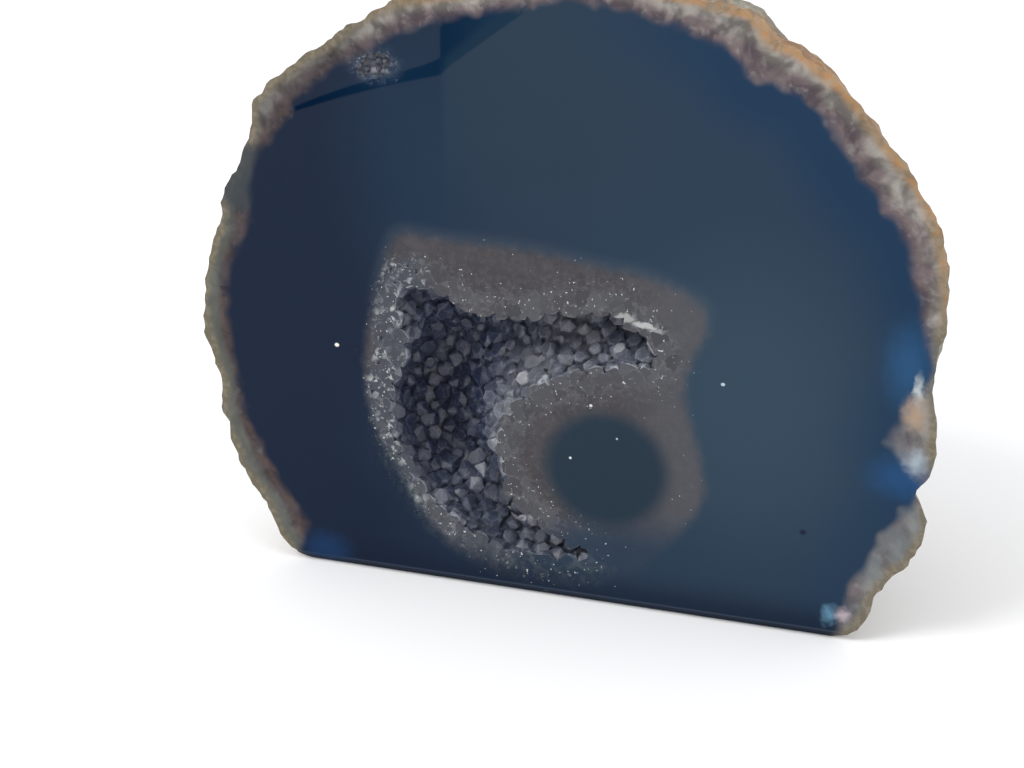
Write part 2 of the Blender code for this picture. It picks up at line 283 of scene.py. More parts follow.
def carve(obj, cutter):
    cut = obj.modifiers.new("Cut", "BOOLEAN")
    cut.operation = "DIFFERENCE"
    cut.object = cutter
    cut.solver = "MANIFOLD"
    return apply_modifiers(obj)


def discard(*objects):
    for obj in objects:
        bpy.data.objects.remove(obj, do_unlink=True)


# Shapes

def rind_radii():
    """Two functions of the angle round the nodule's axis: the notched radius and the even one."""
    flat = [(x * MM, z * MM - CENTRE_HEIGHT) for x, z in FACE_OUTLINE]
    dense = smooth_through(flat, 8, True)
    angles = numpy.arctan2(dense[:, 1], dense[:, 0])
    order = numpy.argsort(angles)
    angles, lengths = angles[order], numpy.hypot(dense[:, 0], dense[:, 1])[order]

    def notched(angle):
        return numpy.interp(angle, angles, lengths, period=math.tau)

    def even(angle):
        return sum(notched(angle + math.radians(step)) for step in range(-18, 19, 6)) / 7

    return notched, even


def swelling(y):
    far = STONE_DEPTH + FULLNESS
    return math.sqrt(max(0.0, 1 - ((y + FULLNESS) / far) ** 2) / (1 - (FULLNESS / far) ** 2))


def skin_height(place, settings):
    """The rough skin: broad swells, rounded lumps and small knobs."""
    swell = noise.noise(place / (30 * MM)) * settings.swell
    lump = (0.45 - noise.voronoi(place / (11 * MM))[0][0]) * settings.lump * 2
    knob = noise.noise(place / (5.5 * MM) + Vector((7, 3, 1))) * settings.knob
    return swell + lump + knob


def fine_skin(place):
    """The skin's small grain: bumps, warts and pits, too fine for the plain solid."""
    bumps = noise.noise(place / (2.6 * MM)) * 0.34 + noise.noise(place / (1.2 * MM)) * 0.16
    cell = noise.voronoi(place / (4.2 * MM))[0][0]
    pit = -0.7 * max(0.0, 1 - cell / 0.28) ** 2
    wart = 0.4 * max(0.0, 1 - noise.voronoi(place / (3.1 * MM) + Vector((5, 5, 5)))[0][0] / 0.4)
    return (bumps + pit + wart) * MM


def rim_wobble(angle, radius):
    place = Vector((math.cos(angle), math.sin(angle), 0.0)) * radius
    return (noise.noise(place / (3.2 * MM)) * 0.6 + noise.noise(place / (1.4 * MM)) * 0.4) * MM


def nodule(settings):
    """The nodule behind the face as a closed mesh of rings, from the face to the back."""
    notched, even = rind_radii()
    angles = [j / ROUND_COUNT * math.tau - math.pi for j in range(ROUND_COUNT)]
    spokes = [(angle, float(notched(angle)), float(even(angle))) for angle in angles]
    bm = bmesh.new()
    rings = []
    for i in range(DEEP_COUNT):
        y = math.sin(i / DEEP_COUNT * math.pi / 2) * STONE_DEPTH
        notches = math.exp(-y / OUTLINE_REACH)
        ring = []
        for angle, sharp_radius, smooth_radius in spokes:
            radius = smooth_radius + (sharp_radius - smooth_radius) * notches
            radius += rim_wobble(angle, radius) * notches
            across = radius * swelling(y)
            base = Vector((math.cos(angle) * across, y, math.sin(angle) * across))
            outward = Vector((base.x, base.y * 0.8, base.z)).normalized()
            lift = skin_height(base, settings) * min(1.0, y / SKIN_FADE)
            lift += fine_skin(base) * min(1.0, y / FINE_SKIN_FADE)
            ring.append(bm.verts.new(base + outward * lift))
        rings.append(ring)
    back = Vector((0, STONE_DEPTH, 0))
    pole = bm.verts.new(back + Vector((0, 1, 0)) * skin_height(back, settings))
    for low, high in zip(rings, rings[1:]):
        for j in range(ROUND_COUNT):
            k = (j + 1) % ROUND_COUNT
            bm.faces.new((low[j], low[k], high[k], high[j]))
    for j in range(ROUND_COUNT):
        bm.faces.new((rings[-1][j], rings[-1][(j + 1) % ROUND_COUNT], pole))
    bm.faces.new(list(reversed(rings[0])))
    bmesh.ops.translate(bm, verts=bm.verts, vec=(ACROSS_ZERO, FACE_Y, CENTRE_HEIGHT))
    bmesh.ops.recalc_face_normals(bm, faces=bm.faces)
    return bm


def saw(bm, point, normal):
    """Cuts away what lies past a plane and closes the cut with one flat face."""
    cut = bmesh.ops.bisect_plane(
        bm, geom=bm.verts[:] + bm.edges[:] + bm.faces[:],
        plane_co=point, plane_no=normal, clear_outer=True)
    rim = [part for part in cut["geom_cut"] if isinstance(part, bmesh.types.BMEdge)]
    bmesh.ops.contextual_create(bm, geom=rim)


def hollow_balls():
    return numpy.vstack([smooth_through(HOLLOW_LINE, 4, False), smooth_through(HOLLOW_CORNER, 4, False)])


def hollow_form(name, grown):
    """The hollow as a smooth solid, grown by a distance all round."""
    bm = bmesh.new()
    for x, z, half_width, lean_across, lean_up in hollow_balls():
        wide = half_width * MM + grown
        deep = half_width * MM * HOLLOW_STRETCH + grown
        place = Matrix.Translation((x * MM + ACROSS_ZERO, FACE_Y, z * MM))
        place[0][1], place[2][1] = lean_across, lean_up
        size = Matrix.Diagonal((wide, deep, wide, 1))
        bmesh.ops.create_uvsphere(bm, u_segments=16, v_segments=12, radius=1.0, matrix=place @ size)
    obj = object_from(bm, name)
    remesh = obj.modifiers.new("Join", "REMESH")
    remesh.mode = "VOXEL"
    remesh.voxel_size = HOLLOW_VOXEL
    smooth = obj.modifiers.new("Smooth", "SMOOTH")
    smooth.iterations = 3
    return apply_modifiers(obj)


def grown_copy(obj, name, distance):
    copy = link(bpy.data.objects.new(name, obj.data.copy()))
    grow = copy.modifiers.new("Grow", "DISPLACE")
    grow.mid_level = 0.0
    grow.strength = distance
    return apply_modifiers(copy)


def small_pit():
    """The small pit in the upper left: an uneven, slanting bowl."""
    x, z, half_width, half_height, depth = SMALL_PIT
    bm = bmesh.new()
    place = Matrix.Translation((x * MM + ACROSS_ZERO, FACE_Y, z * MM))
    place = place @ Matrix.Rotation(SMALL_PIT_TURN, 4, "Y")
    size = Matrix.Diagonal((half_width * MM, depth * MM, half_height * MM, 1))
    bmesh.ops.create_icosphere(bm, subdivisions=4, radius=1.0, matrix=place @ size)
    for vert in bm.verts:
        away = (vert.co - place.translation).normalized()
        vert.co += away * noise.noise(vert.co / (1.3 * MM)) * 0.35 * MM
    return object_from(bm, "small_pit")


def ring_pits(seed):
    """Small chips in the polished quartz next to the hollow, most of them on its left."""
    rng = random.Random(seed)
    balls = hollow_balls()[:, :3]
    band = smooth_through(QUARTZ_OUTER, 4, True)
    bm = bmesh.new()
    kept = []
    for _ in range(CHIP_TRIES):
        x, z = rng.uniform(-27, 20), rng.uniform(1, 46)
        gap = float(numpy.min(numpy.hypot(balls[:, 0] - x, balls[:, 1] - z) - balls[:, 2]))
        if x < -17 + (z - 20) * 0.05:
            likely, reach, sizes = LEFT_CHIPS
        elif z + 0.35 * x < 8:
            likely, reach, sizes = LOW_CHIPS
        else:
            likely, reach, sizes = OTHER_CHIPS
        size = rng.triangular(*sizes)
        if gap < 0.9 or gap > reach or rng.random() > likely:
            continue
        if inside_distance(numpy.array([(x, z)]), band)[0] < size + 0.2:
            continue
        if any(math.hypot(x - a, z - b) < size + c + 0.04 for a, b, c in kept):
            continue
        kept.append((x, z, size))
        turn = Matrix.Rotation(rng.uniform(0, 6), 4, "X") @ Matrix.Rotation(rng.uniform(0, 6), 4, "Z")
        middle = FACE_Y + rng.uniform(-0.25, 0.1) * size * MM
        place = Matrix.Translation((x * MM + ACROSS_ZERO, middle, z * MM))
        wide = size * MM * 1.15
        shape = Matrix.Diagonal((wide, wide * rng.uniform(0.6, 1.0), wide * rng.uniform(0.6, 1.0), 1))
        bmesh.ops.create_cube(bm, size=1.0, matrix=place @ turn @ shape)
    return object_from(bm, "ring_pits")


def crystal_shapes(seed):
    """A collection of crystals with blunt six-sided ends, one face of each larger than the rest."""
    rng = random.Random(seed)
    shapes = bpy.data.collections.new("crystal_shapes")
    for number in range(CRYSTAL_KINDS):
        bm = bmesh.new()
        bmesh.ops.create_cone(
            bm, cap_ends=True, segments=6, radius1=1.0, radius2=0.96, depth=1.45,
            matrix=Matrix.Translation((0, 0, -0.225)))
        for vert in bm.verts:
            vert.co.x *= rng.uniform(0.88, 1.12)
            vert.co.y *= rng.uniform(0.88, 1.12)
        top = max(bm.faces, key=lambda face: face.calc_center_median().z)
        turn, off = rng.uniform(0, math.tau), rng.uniform(0.2, 0.55)
        slide = Vector((math.cos(turn), math.sin(turn), 0.0)) * off
        if number % 2:
            thickness, depth = rng.uniform(0.30, 0.45), rng.uniform(0.2, 0.32)
            bmesh.ops.inset_individual(bm, faces=[top], thickness=thickness, depth=depth)
            for vert in top.verts:
                vert.co += slide * 0.35
                vert.co.z += vert.co.dot(slide) * 0.35
        else:
            spokes = bmesh.ops.poke(bm, faces=[top])
            spokes["verts"][0].co += slide + Vector((0, 0, rng.uniform(0.28, 0.5)))
        mesh = bpy.data.meshes.new("crystal_shape_%d" % number)
        bm.to_mesh(mesh)
        bm.free()
        shapes.objects.link(bpy.data.objects.new("crystal_shape_%d" % number, mesh))
    return shapes


def wire(tree, kind, inputs=None, **settings):
    """Adds a node with its settings, and links or sets its inputs."""
    made = tree.nodes.new(kind)
    for key, value in settings.items():
        setattr(made, key, value)
    for key, value in (inputs or {}).items():
        if isinstance(value, bpy.types.NodeSocket):
            tree.links.new(value, made.inputs[key])
        else:
            made.inputs[key].default_value = value
    return made


def crystal_tree(shapes, material):
    """Geometry Nodes that grow crystals on a wall, fuse them to a crust and saw them flush."""
    tree = bpy.data.node_groups.new("Grow crystals", "GeometryNodeTree")
    face = tree.interface
    face.new_socket("Geometry", in_out="INPUT", socket_type="NodeSocketGeometry")
    for name, kind in (
        ("Crust", "Object"), ("Saw", "Object"), ("Spacing", "Float"), ("Smallest", "Float"),
        ("Largest", "Float"), ("Lean", "Float"), ("Seed", "Int"),
    ):
        face.new_socket(name, in_out="INPUT", socket_type="NodeSocket" + kind)
    face.new_socket("Geometry", in_out="OUTPUT", socket_type="NodeSocketGeometry")
    given = tree.nodes.new("NodeGroupInput").outputs

    def product(first, second):
        return wire(tree, "ShaderNodeMath", {0: first, 1: second}, operation="MULTIPLY").outputs[0]

    def scaled(vector, factor):
        inputs = {0: vector, "Scale": factor}
        return wire(tree, "ShaderNodeVectorMath", inputs, operation="SCALE").outputs[0]

    def added(first, second):
        return wire(tree, "ShaderNodeVectorMath", {0: first, 1: second}, operation="ADD").outputs[0]

    def drawn_value(low, high, seed):
        inputs = {2: low, 3: high, "Seed": seed}
        return wire(tree, "FunctionNodeRandomValue", inputs, data_type="FLOAT").outputs[1]

    def drawn_vector(low, high, seed):
        inputs = {0: low, 1: high, "Seed": seed}
        return wire(tree, "FunctionNodeRandomValue", inputs, data_type="FLOAT_VECTOR").outputs[0]

    kinds = wire(tree, "GeometryNodeCollectionInfo", {"Collection": shapes, "Separate Children": True})
    fused = wire(tree, "GeometryNodeMeshBoolean", operation="UNION", solver="MANIFOLD")
    # Two rounds: the large crystals, then small ones between them, sunk a little into the wall
    for share, sink, seed in ((1.0, 0.0, 10), (0.55, 0.35 * MM, 20)):
        points = wire(tree, "GeometryNodeDistributePointsOnFaces", {
            "Mesh": given["Geometry"], "Distance Min": product(given["Spacing"], share),
            "Density Max": 4.0e6, "Seed": given["Seed"]}, distribute_method="POISSON")
        normal = points.outputs["Normal"]
        wander = drawn_vector((-1, -1, -1), (1, 1, 1), seed + 1)
        aim = added(added(scaled(normal, -1.0), scaled(wander, given["Lean"])), CRYSTAL_AIM)
        stand = wire(tree, "FunctionNodeAlignRotationToVector", {"Vector": aim}, axis="Z")
        spin = drawn_vector((0, 0, 0), (0, 0, math.tau), seed + 2)
        twist = wire(tree, "FunctionNodeEulerToRotation", {0: spin})
        turned = wire(
            tree, "FunctionNodeRotateRotation", {0: stand.outputs[0], 1: twist.outputs[0]},
            rotation_space="LOCAL")
        size = drawn_value(product(given["Smallest"], share), product(given["Largest"], share), seed + 3)
        height = product(size, drawn_value(0.65, 1.25, seed + 4))
        full = wire(tree, "ShaderNodeCombineXYZ", {0: size, 1: size, 2: height})
        moved = wire(tree, "GeometryNodeSetPosition", {
            "Geometry": points.outputs["Points"], "Offset": scaled(normal, sink)})
        grown = wire(tree, "GeometryNodeInstanceOnPoints", {
            "Points": moved.outputs[0], "Instance": kinds.outputs[0], "Pick Instance": True,
            "Rotation": turned.outputs[0], "Scale": full.outputs[0]})
        tree.links.new(grown.outputs[0], fused.inputs["Mesh 2"])
    crust = wire(tree, "GeometryNodeObjectInfo", {"Object": given["Crust"]})
    tree.links.new(crust.outputs["Geometry"], fused.inputs["Mesh 2"])
    block = wire(tree, "GeometryNodeObjectInfo", {"Object": given["Saw"]})
    sawn = wire(
        tree, "GeometryNodeMeshBoolean", {"Mesh 1": fused.outputs[0]},
        operation="DIFFERENCE", solver="MANIFOLD")
    tree.links.new(block.outputs["Geometry"], sawn.inputs["Mesh 2"])
    real = wire(tree, "GeometryNodeRealizeInstances", {"Geometry": sawn.outputs[0]})
    done = wire(tree, "GeometryNodeSetMaterial", {"Geometry": real.outputs[0], "Material": material})
    out = tree.nodes.new("NodeGroupOutput")
    tree.links.new(done.outputs[0], out.inputs[0])
    return tree


def saw_block():
    bm = bmesh.new()
    bmesh.ops.create_cube(bm, size=0.2, matrix=Matrix.Translation((0, FACE_Y - 0.1, 0.03)))
    return object_from(bm, "block")


def keep_behind_face(wall):
    """Leaves only the part of a wall that lies behind the polished face."""
    bm = bmesh.new()
    bm.from_mesh(wall.data)
    ahead = [face for face in bm.faces if face.calc_center_median().y < FACE_Y - 0.5 * MM]
    bmesh.ops.delete(bm, geom=ahead, context="FACES")
    bm.to_mesh(wall.data)
    bm.free()


def clear_shapes(shapes):
    for obj in list(shapes.objects):
        mesh = obj.data
        bpy.data.objects.remove(obj)
        bpy.data.meshes.remove(mesh)
    bpy.data.collections.remove(shapes)


def grow_crystals(wall, tree, values):
    modifier = wall.modifiers.new("Crystals", "NODES")
    modifier.node_group = tree
    for item in tree.interface.items_tree:
        if item.in_out == "INPUT" and item.name in values:
            modifier[item.identifier] = values[item.name]
    return apply_modifiers(wall)


# Places measured on the flat faces

def lattice(bm, faces, axis, step):
    """Divides flat faces along one axis, so that values held on their corners are fine enough."""
    if not faces:
        return faces
    low = min(vert.co[axis] for face in faces for vert in face.verts)
    high = max(vert.co[axis] for face in faces for vert in face.verts)
    normal = [0.0, 0.0, 0.0]
    normal[axis] = 1.0
    for i in range(1, int((high - low) / step) + 1):
        point = [0.0, 0.0, 0.0]
        point[axis] = low + i * step
        near = []
        for face in faces:
            spots = [vert.co[axis] for vert in face.verts]
            if min(spots) < point[axis] < max(spots):
                near.append(face)
        edges = list({edge for face in near for edge in face.edges})
        verts = list({vert for face in near for vert in face.verts})
        cut = bmesh.ops.bisect_plane(bm, geom=near + edges + verts, plane_co=point, plane_no=normal)
        fresh = [part for part in cut["geom"] if isinstance(part, bmesh.types.BMFace)]
        faces = list(set(faces) | set(fresh))
    return faces


def inside_distance(spots, outline):
    """Distance in millimetres from each spot to a closed line, positive inside it."""
    starts = numpy.array(outline)
    ends = numpy.roll(starts, -1, axis=0)
    along = ends - starts
    lengths = (along ** 2).sum(axis=1)
    distances = numpy.full(len(spots), 1e9)
    crossings = numpy.zeros(len(spots), dtype=int)
    for start, step, length, end in zip(starts, along, lengths, ends):
        t = numpy.clip(((spots - start) @ step) / max(length, 1e-12), 0, 1)
        gap = spots - start - t[:, None] * step
        distances = numpy.minimum(distances, numpy.hypot(gap[:, 0], gap[:, 1]))
        above = (start[1] > spots[:, 1]) != (end[1] > spots[:, 1])
        rise = end[1] - start[1] if end[1] != start[1] else 1e-12
        at = start[0] + (spots[:, 1] - start[1]) * (end[0] - start[0]) / rise
        crossings += above & (spots[:, 0] < at)
    return numpy.where(crossings % 2 == 1, distances, -distances)


def store(mesh, name, values):
    held = mesh.attributes.new(name, "FLOAT", "POINT")
    held.data.foreach_set("value", numpy.asarray(values, dtype=numpy.float32))


def store_face_places(mesh):
    """Holds, on each point, how far it lies from the rind, the quartz and the hollow."""
    places = numpy.empty(len(mesh.vertices) * 3)
    mesh.vertices.foreach_get("co", places)
    places = places.reshape(-1, 3)
    spots = numpy.stack([(places[:, 0] - ACROSS_ZERO) / MM, places[:, 2] / MM], axis=1)
    rim = inside_distance(spots, smooth_through(FACE_OUTLINE, 6, True))
    rind = inside_distance(spots, smooth_through(RIND_INNER, 4, True))
    on_base = (places[:, 2] < 0.01 * MM) & (places[:, 1] > FACE_Y + 1 * MM)
    across, up = places[on_base, 0] - ACROSS_ZERO, places[on_base, 2] - CENTRE_HEIGHT
    swells = numpy.array([swelling(y - FACE_Y) for y in places[on_base, 1]])
    even = rind_radii()[1]
    rim[on_base] = (even(numpy.arctan2(up, across)) * swells - numpy.hypot(across, up)) / MM
    rind[on_base] = rim[on_base] - BASE_RIND
    store(mesh, "rim_mm", rim)
    store(mesh, "rind_mm", rind)
    store(mesh, "quartz_mm", inside_distance(spots, smooth_through(QUARTZ_OUTER, 4, True)))
    balls = hollow_balls()
    gaps = numpy.full(len(spots), 1e9)
    for x, z, half_width in balls[:, :3]:
        gaps = numpy.minimum(gaps, numpy.hypot(spots[:, 0] - x, spots[:, 1] - z) - half_width)
    store(mesh, "hollow_mm", gaps)


# Finishes: colours are linear red, green, blue and alpha

QUARTZ_IOR = 1.54
FACE_GLOSS = 0.13
CUT_CRYSTAL = 2.1

TEAL_TINT = (0.019, 0.041, 0.066, 1.0)
# Painted reflection: the haze mirrored in the upper middle of the polished face
UPPER_REFLECTION_HAZE = (0.0110, 0.0262, 0.0455, 1.0)
CLEAR_TINT = (0.0040, 0.0215, 0.0500, 1.0)
HALO = (0.056, 0.074, 0.090, 1.0)
BLOTCH = (0.066, 0.080, 0.088, 1.0)
DARK_FOOT = (0.0008, 0.0060, 0.020, 1.0)
CREASE = (0.055, 0.075, 0.105, 1.0)
BASE_DARK = (0.009, 0.024, 0.046, 1.0)
BASE_PALE = (0.026, 0.046, 0.070, 1.0)
CORE_BLUE = (0.009, 0.022, 0.038, 1.0)
FLECK = (0.50, 0.51, 0.49, 1.0)
PIT_SHADE = (0.042, 0.058, 0.085, 1.0)
PIT_SPARKLE = (0.30, 0.33, 0.36, 1.0)

QUARTZ_WARM = (0.056, 0.052, 0.057, 1.0)
QUARTZ_SPECK = (0.105, 0.100, 0.104, 1.0)
QUARTZ_DENT = (0.026, 0.026, 0.032, 1.0)
QUARTZ_RIGHT = (0.066, 0.069, 0.079, 1.0)
CUT_DARK = (0.042, 0.042, 0.050, 1.0)
CUT_PALE = (0.078, 0.079, 0.088, 1.0)
CUT_EDGE = (0.17, 0.17, 0.175, 1.0)
FROST_SHADE = (0.047, 0.053, 0.067, 1.0)
FROST_WHITE = (0.46, 0.48, 0.48, 1.0)

RIND_PLUM = (0.058, 0.044, 0.052, 1.0)
RIND_ROSE = (0.125, 0.096, 0.098, 1.0)
RIND_GREY = (0.105, 0.095, 0.085, 1.0)
RIND_CREAM = (0.27, 0.25, 0.225, 1.0)
RIND_GLASSY = (0.30, 0.28, 0.27, 1.0)
RIND_LEFT_SHADE = (0.40, 0.41, 0.42, 1.0)
RIND_BROWN = (0.070, 0.046, 0.040, 1.0)
RIND_LOW_RIGHT = (0.125, 0.140, 0.148, 1.0)
RIND_GREEN = (0.078, 0.088, 0.078, 1.0)
# Painted reflection: the dark stripe mirrored on the upper left of the rind
RIND_DARK_REFLECTION = (0.030, 0.038, 0.045, 1.0)
EDGE_DULL = (0.125, 0.105, 0.070, 1.0)
EDGE_OCHRE = (0.36, 0.185, 0.070, 1.0)
EDGE_PALE = (0.24, 0.20, 0.14, 1.0)

SKIN_DARK_BROWN = (0.13, 0.085, 0.055, 1.0)
SKIN_BROWN = (0.27, 0.20, 0.14, 1.0)
SKIN_DARK_GREY = (0.16, 0.15, 0.11, 1.0)
SKIN_GREY = (0.33, 0.30, 0.25, 1.0)
SKIN_DARK_OCHRE = (0.22, 0.115, 0.052, 1.0)
SKIN_OCHRE = (0.40, 0.235, 0.105, 1.0)
SKIN_PALE = (0.50, 0.46, 0.40, 1.0)
SKIN_DARK_MARK = (0.05, 0.037, 0.028, 1.0)

CRYSTAL_LEFT = (0.050, 0.067, 0.130, 1.0)
# Partly the grey of the cut quartz, partly painted light next to the face
CRYSTAL_GREY_NEAR_FACE_LIT = (0.150, 0.156, 0.185, 1.0)
# Partly the crystals' deeper blue, partly painted shade deep in the hollow
CRYSTAL_DEEP_BLUE_SHADE = (0.020, 0.031, 0.086, 1.0)
CRYSTAL_TAIL = (0.022, 0.034, 0.066, 1.0)
CRYSTAL_RIGHT_END = (0.062, 0.072, 0.102, 1.0)
CRYSTAL_PATCH = (0.040, 0.053, 0.104, 1.0)
CRYSTAL_FROST = (0.27, 0.30, 0.37, 1.0)
CRYSTAL_DIM = (0.50, 0.50, 0.58, 1.0)
CRYSTAL_CLOUD = (0.20, 0.23, 0.30, 1.0)
CRYSTAL_FLAW = (0.30, 0.33, 0.38, 1.0)
# Painted shade for the gaps between the crystals
CRYSTAL_GAP_SHADE = (0.016, 0.024, 0.064, 1.0)
# Painted highlight along the crystals' open edges
CRYSTAL_EDGE_HIGHLIGHT = (0.38, 0.41, 0.47, 1.0)
CRYSTAL_CHIP = (0.50, 0.52, 0.54, 1.0)
# Painted shade for the crystals in the small pit
CRYSTAL_PIT_SHADE = (0.16, 0.22, 0.32, 1.0)

# Marks on the face: across, up and half-sizes in millimetres, then the colour
CRISP_MARKS = (
    (-32.2, 33.2, 0.32, 0.26, (0.75, 0.72, 0.62, 1.0)),
    (35.8, 14.7, 0.45, 0.35, (0.004, 0.008, 0.03, 1.0)),
    (24.2, 34.0, 0.28, 0.22, (0.35, 0.45, 0.50, 1.0)),
    (5.7, 28.8, 0.22, 0.2, (0.5, 0.52, 0.5, 1.0)),
    (2.8, 20.9, 0.19, 0.17, (0.55, 0.62, 0.62, 1.0)),
    (9.5, 24.5, 0.15, 0.15, (0.3, 0.36, 0.36, 1.0)),
    (10.6, 41.7, 1.4, 0.55, (0.26, 0.26, 0.26, 1.0)),
    (13.2, 40.9, 1.6, 0.45, (0.34, 0.34, 0.34, 1.0)),
    (15.0, 40.3, 1.1, 0.30, (0.22, 0.22, 0.23, 1.0)),
    (0.7, 33.2, 1.1, 0.4, (0.42, 0.43, 0.42, 1.0)),
)
SOFT_MARKS = (
    # The first two are painted glow: brighter blue where light shines through the thin right edge
    (48.8, 39.4, 2.6, 4.4, (0.012, 0.060, 0.145, 1.0)),
    (48.8, 24.0, 3.8, 2.4, (0.008, 0.050, 0.140, 1.0)),
    (39.8, 3.4, 0.9, 1.1, (0.10, 0.22, 0.32, 1.0)),
    (41.6, 3.7, 0.8, 0.7, (0.40, 0.33, 0.37, 1.0)),
    (-34.6, 2.2, 3.0, 2.0, (0.003, 0.026, 0.085, 1.0)),
    (50.2, 36.2, 0.5, 1.6, (0.42, 0.46, 0.46, 1.0)),
    (50.0, 33.0, 1.3, 1.8, (0.34, 0.24, 0.16, 1.0)),
    (50.4, 26.6, 1.2, 1.4, (0.30, 0.35, 0.39, 1.0)),
)


# Materials

class Finish:
    """A material in the making: its shader, its places in millimetres and the nodes of its pattern."""

    def __init__(self, name):
        self.material = bpy.data.materials.new(name)
        self.material.use_nodes = True
        self.tree = self.material.node_tree
        self.shader = self.tree.nodes["Principled BSDF"]
        metres = self.node("ShaderNodeTexCoord").outputs["Object"]
        self.place = self.vector("SCALE", {0: metres, "Scale": 1 / MM})
        self.across, self.depth, self.up = self.node("ShaderNodeSeparateXYZ", {0: self.place}).outputs

    def node(self, kind, inputs=None, **settings):
        return wire(self.tree, kind, inputs, **settings)

    def give(self, socket, value):
        """Links a pattern to the shader's socket, or sets an even value on the socket itself."""
        if isinstance(value, bpy.types.NodeSocket):
            self.tree.links.new(value, self.shader.inputs[socket])
        else:
            self.shader.inputs[socket].default_value = value

    def at(self, place):
        return self.place if place is None else place

    def held(self, name):
        return self.node("ShaderNodeAttribute", attribute_name=name).outputs["Fac"]

    def vector(self, operation, inputs, output=0):
        return self.node("ShaderNodeVectorMath", inputs, operation=operation).outputs[output]

    def math(self, operation, first, second):
        return self.node("ShaderNodeMath", {0: first, 1: second}, operation=operation).outputs[0]

    def times(self, first, second):
        return self.math("MULTIPLY", first, second)

    def plus(self, first, second):
        return self.math("ADD", first, second)

    def minus(self, first, second):
        return self.math("SUBTRACT", first, second)

    def larger(self, first, second):
        return self.math("MAXIMUM", first, second)

    def blend(self, share, first, second, kind="MIX"):
        inputs = {0: share, 6: first, 7: second}
        return self.node("ShaderNodeMix", inputs, data_type="RGBA", blend_type=kind).outputs[2]

    def fade(self, value, start, end, kind="SMOOTHSTEP", low=0.0, high=1.0):
        """A share that goes from low to high while the value goes from start to end."""
        inputs = {"Value": value, "From Min": start, "From Max": end, "To Min": low, "To Max": high}
        return self.node("ShaderNodeMapRange", inputs, interpolation_type=kind).outputs["Result"]

    def grain(self, size, detail=2.0, rough=0.5, warp=0.0, place=None):
        return self.node("ShaderNodeTexNoise", {
            "Vector": self.at(place), "Scale": 1.0 / size, "Detail": detail,
            "Roughness": rough, "Distortion": warp}).outputs["Fac"]

    def cells(self, size, feature="F1", place=None):
        inputs = {"Vector": self.at(place), "Scale": 1.0 / size}
        return self.node("ShaderNodeTexVoronoi", inputs, feature=feature).outputs

    def chance(self, colour):
        """A value from 0 to 1 for each cell, taken from the cell's colour."""
        return self.node("ShaderNodeSeparateColor", {0: colour}).outputs[0]

    def pushed(self, scale, detail, middle, reach):
        """The places, pushed about by a soft noise."""
        push = self.node("ShaderNodeTexNoise", {"Vector": self.place, "Scale": scale, "Detail": detail})
        push = self.vector("SUBTRACT", {0: push.outputs["Color"], 1: (middle, middle, middle)})
        push = self.vector("SCALE", {0: push, "Scale": reach})
        return self.vector("ADD", {0: push, 1: self.place})

    def spot(self, x, z, radius_x, radius_z, soft, place=None):
        """A share that is 1 inside an ellipse on the face and fades out over its soft edge."""
        moved = self.node("ShaderNodeMapping", {
            "Vector": self.at(place),
            "Location": (-(x + ACROSS_ZERO / MM) / radius_x, 0.0, -z / radius_z),
            "Scale": (1.0 / radius_x, 0.0, 1.0 / radius_z)})
        length = self.vector("LENGTH", {0: moved.outputs[0]}, "Value")
        return self.fade(length, 1.0 + soft, 1.0 - soft)

    def bump(self, height, distance, strength, before=None):
        inputs = {"Height": height, "Distance": distance, "Strength": strength}
        if before is not None:
            inputs["Normal"] = before
        return self.node("ShaderNodeBump", inputs).outputs["Normal"]


def blue_body(face, stone, cloud):
    """The blue agate: darker on the left, clearer next to the rind, with two soft tints and a lighter band
    of painted reflection haze in the upper middle.
    """
    drift = face.times(face.minus(cloud, 0.5), 30.0)
    side = face.fade(face.plus(face.across, drift), -34.0, 12.0)
    blue = face.blend(side, tuple(stone.deep_blue), tuple(stone.soft_blue))
    near_rind = face.fade(face.plus(face.rind, face.times(cloud, 6.0)), 14.0, 4.0)
    on_right = face.fade(face.across, -25.0, 20.0, high=0.95)
    off_base = face.fade(face.up, 6.0, 30.0, low=0.35)
    share = face.times(near_rind, face.times(on_right, off_base))
    blue = face.blend(share, blue, tuple(stone.rim_blue))
    blue = face.blend(face.spot(28.0, 31.0, 14.0, 17.0, 0.75), blue, TEAL_TINT)

    # Painted reflection haze: the upper middle is lighter, with sharp edges on its left and top
    step = face.times(face.fade(face.across, -16.6, -14.8), face.fade(face.across, 26.0, -4.0))
    step = face.times(step, face.fade(face.up, 50.0, 66.0))
    diagonal = face.minus(face.up, face.times(face.across, 0.85))
    step = face.times(step, face.fade(diagonal, 89.0, 87.0))
    blue = face.blend(face.times(step, 0.8), blue, UPPER_REFLECTION_HAZE)
    clearer = face.times(face.spot(-21.0, 62.0, 8.0, 15.0, 0.85), 0.5)
    return face.blend(clearer, blue, CLEAR_TINT)


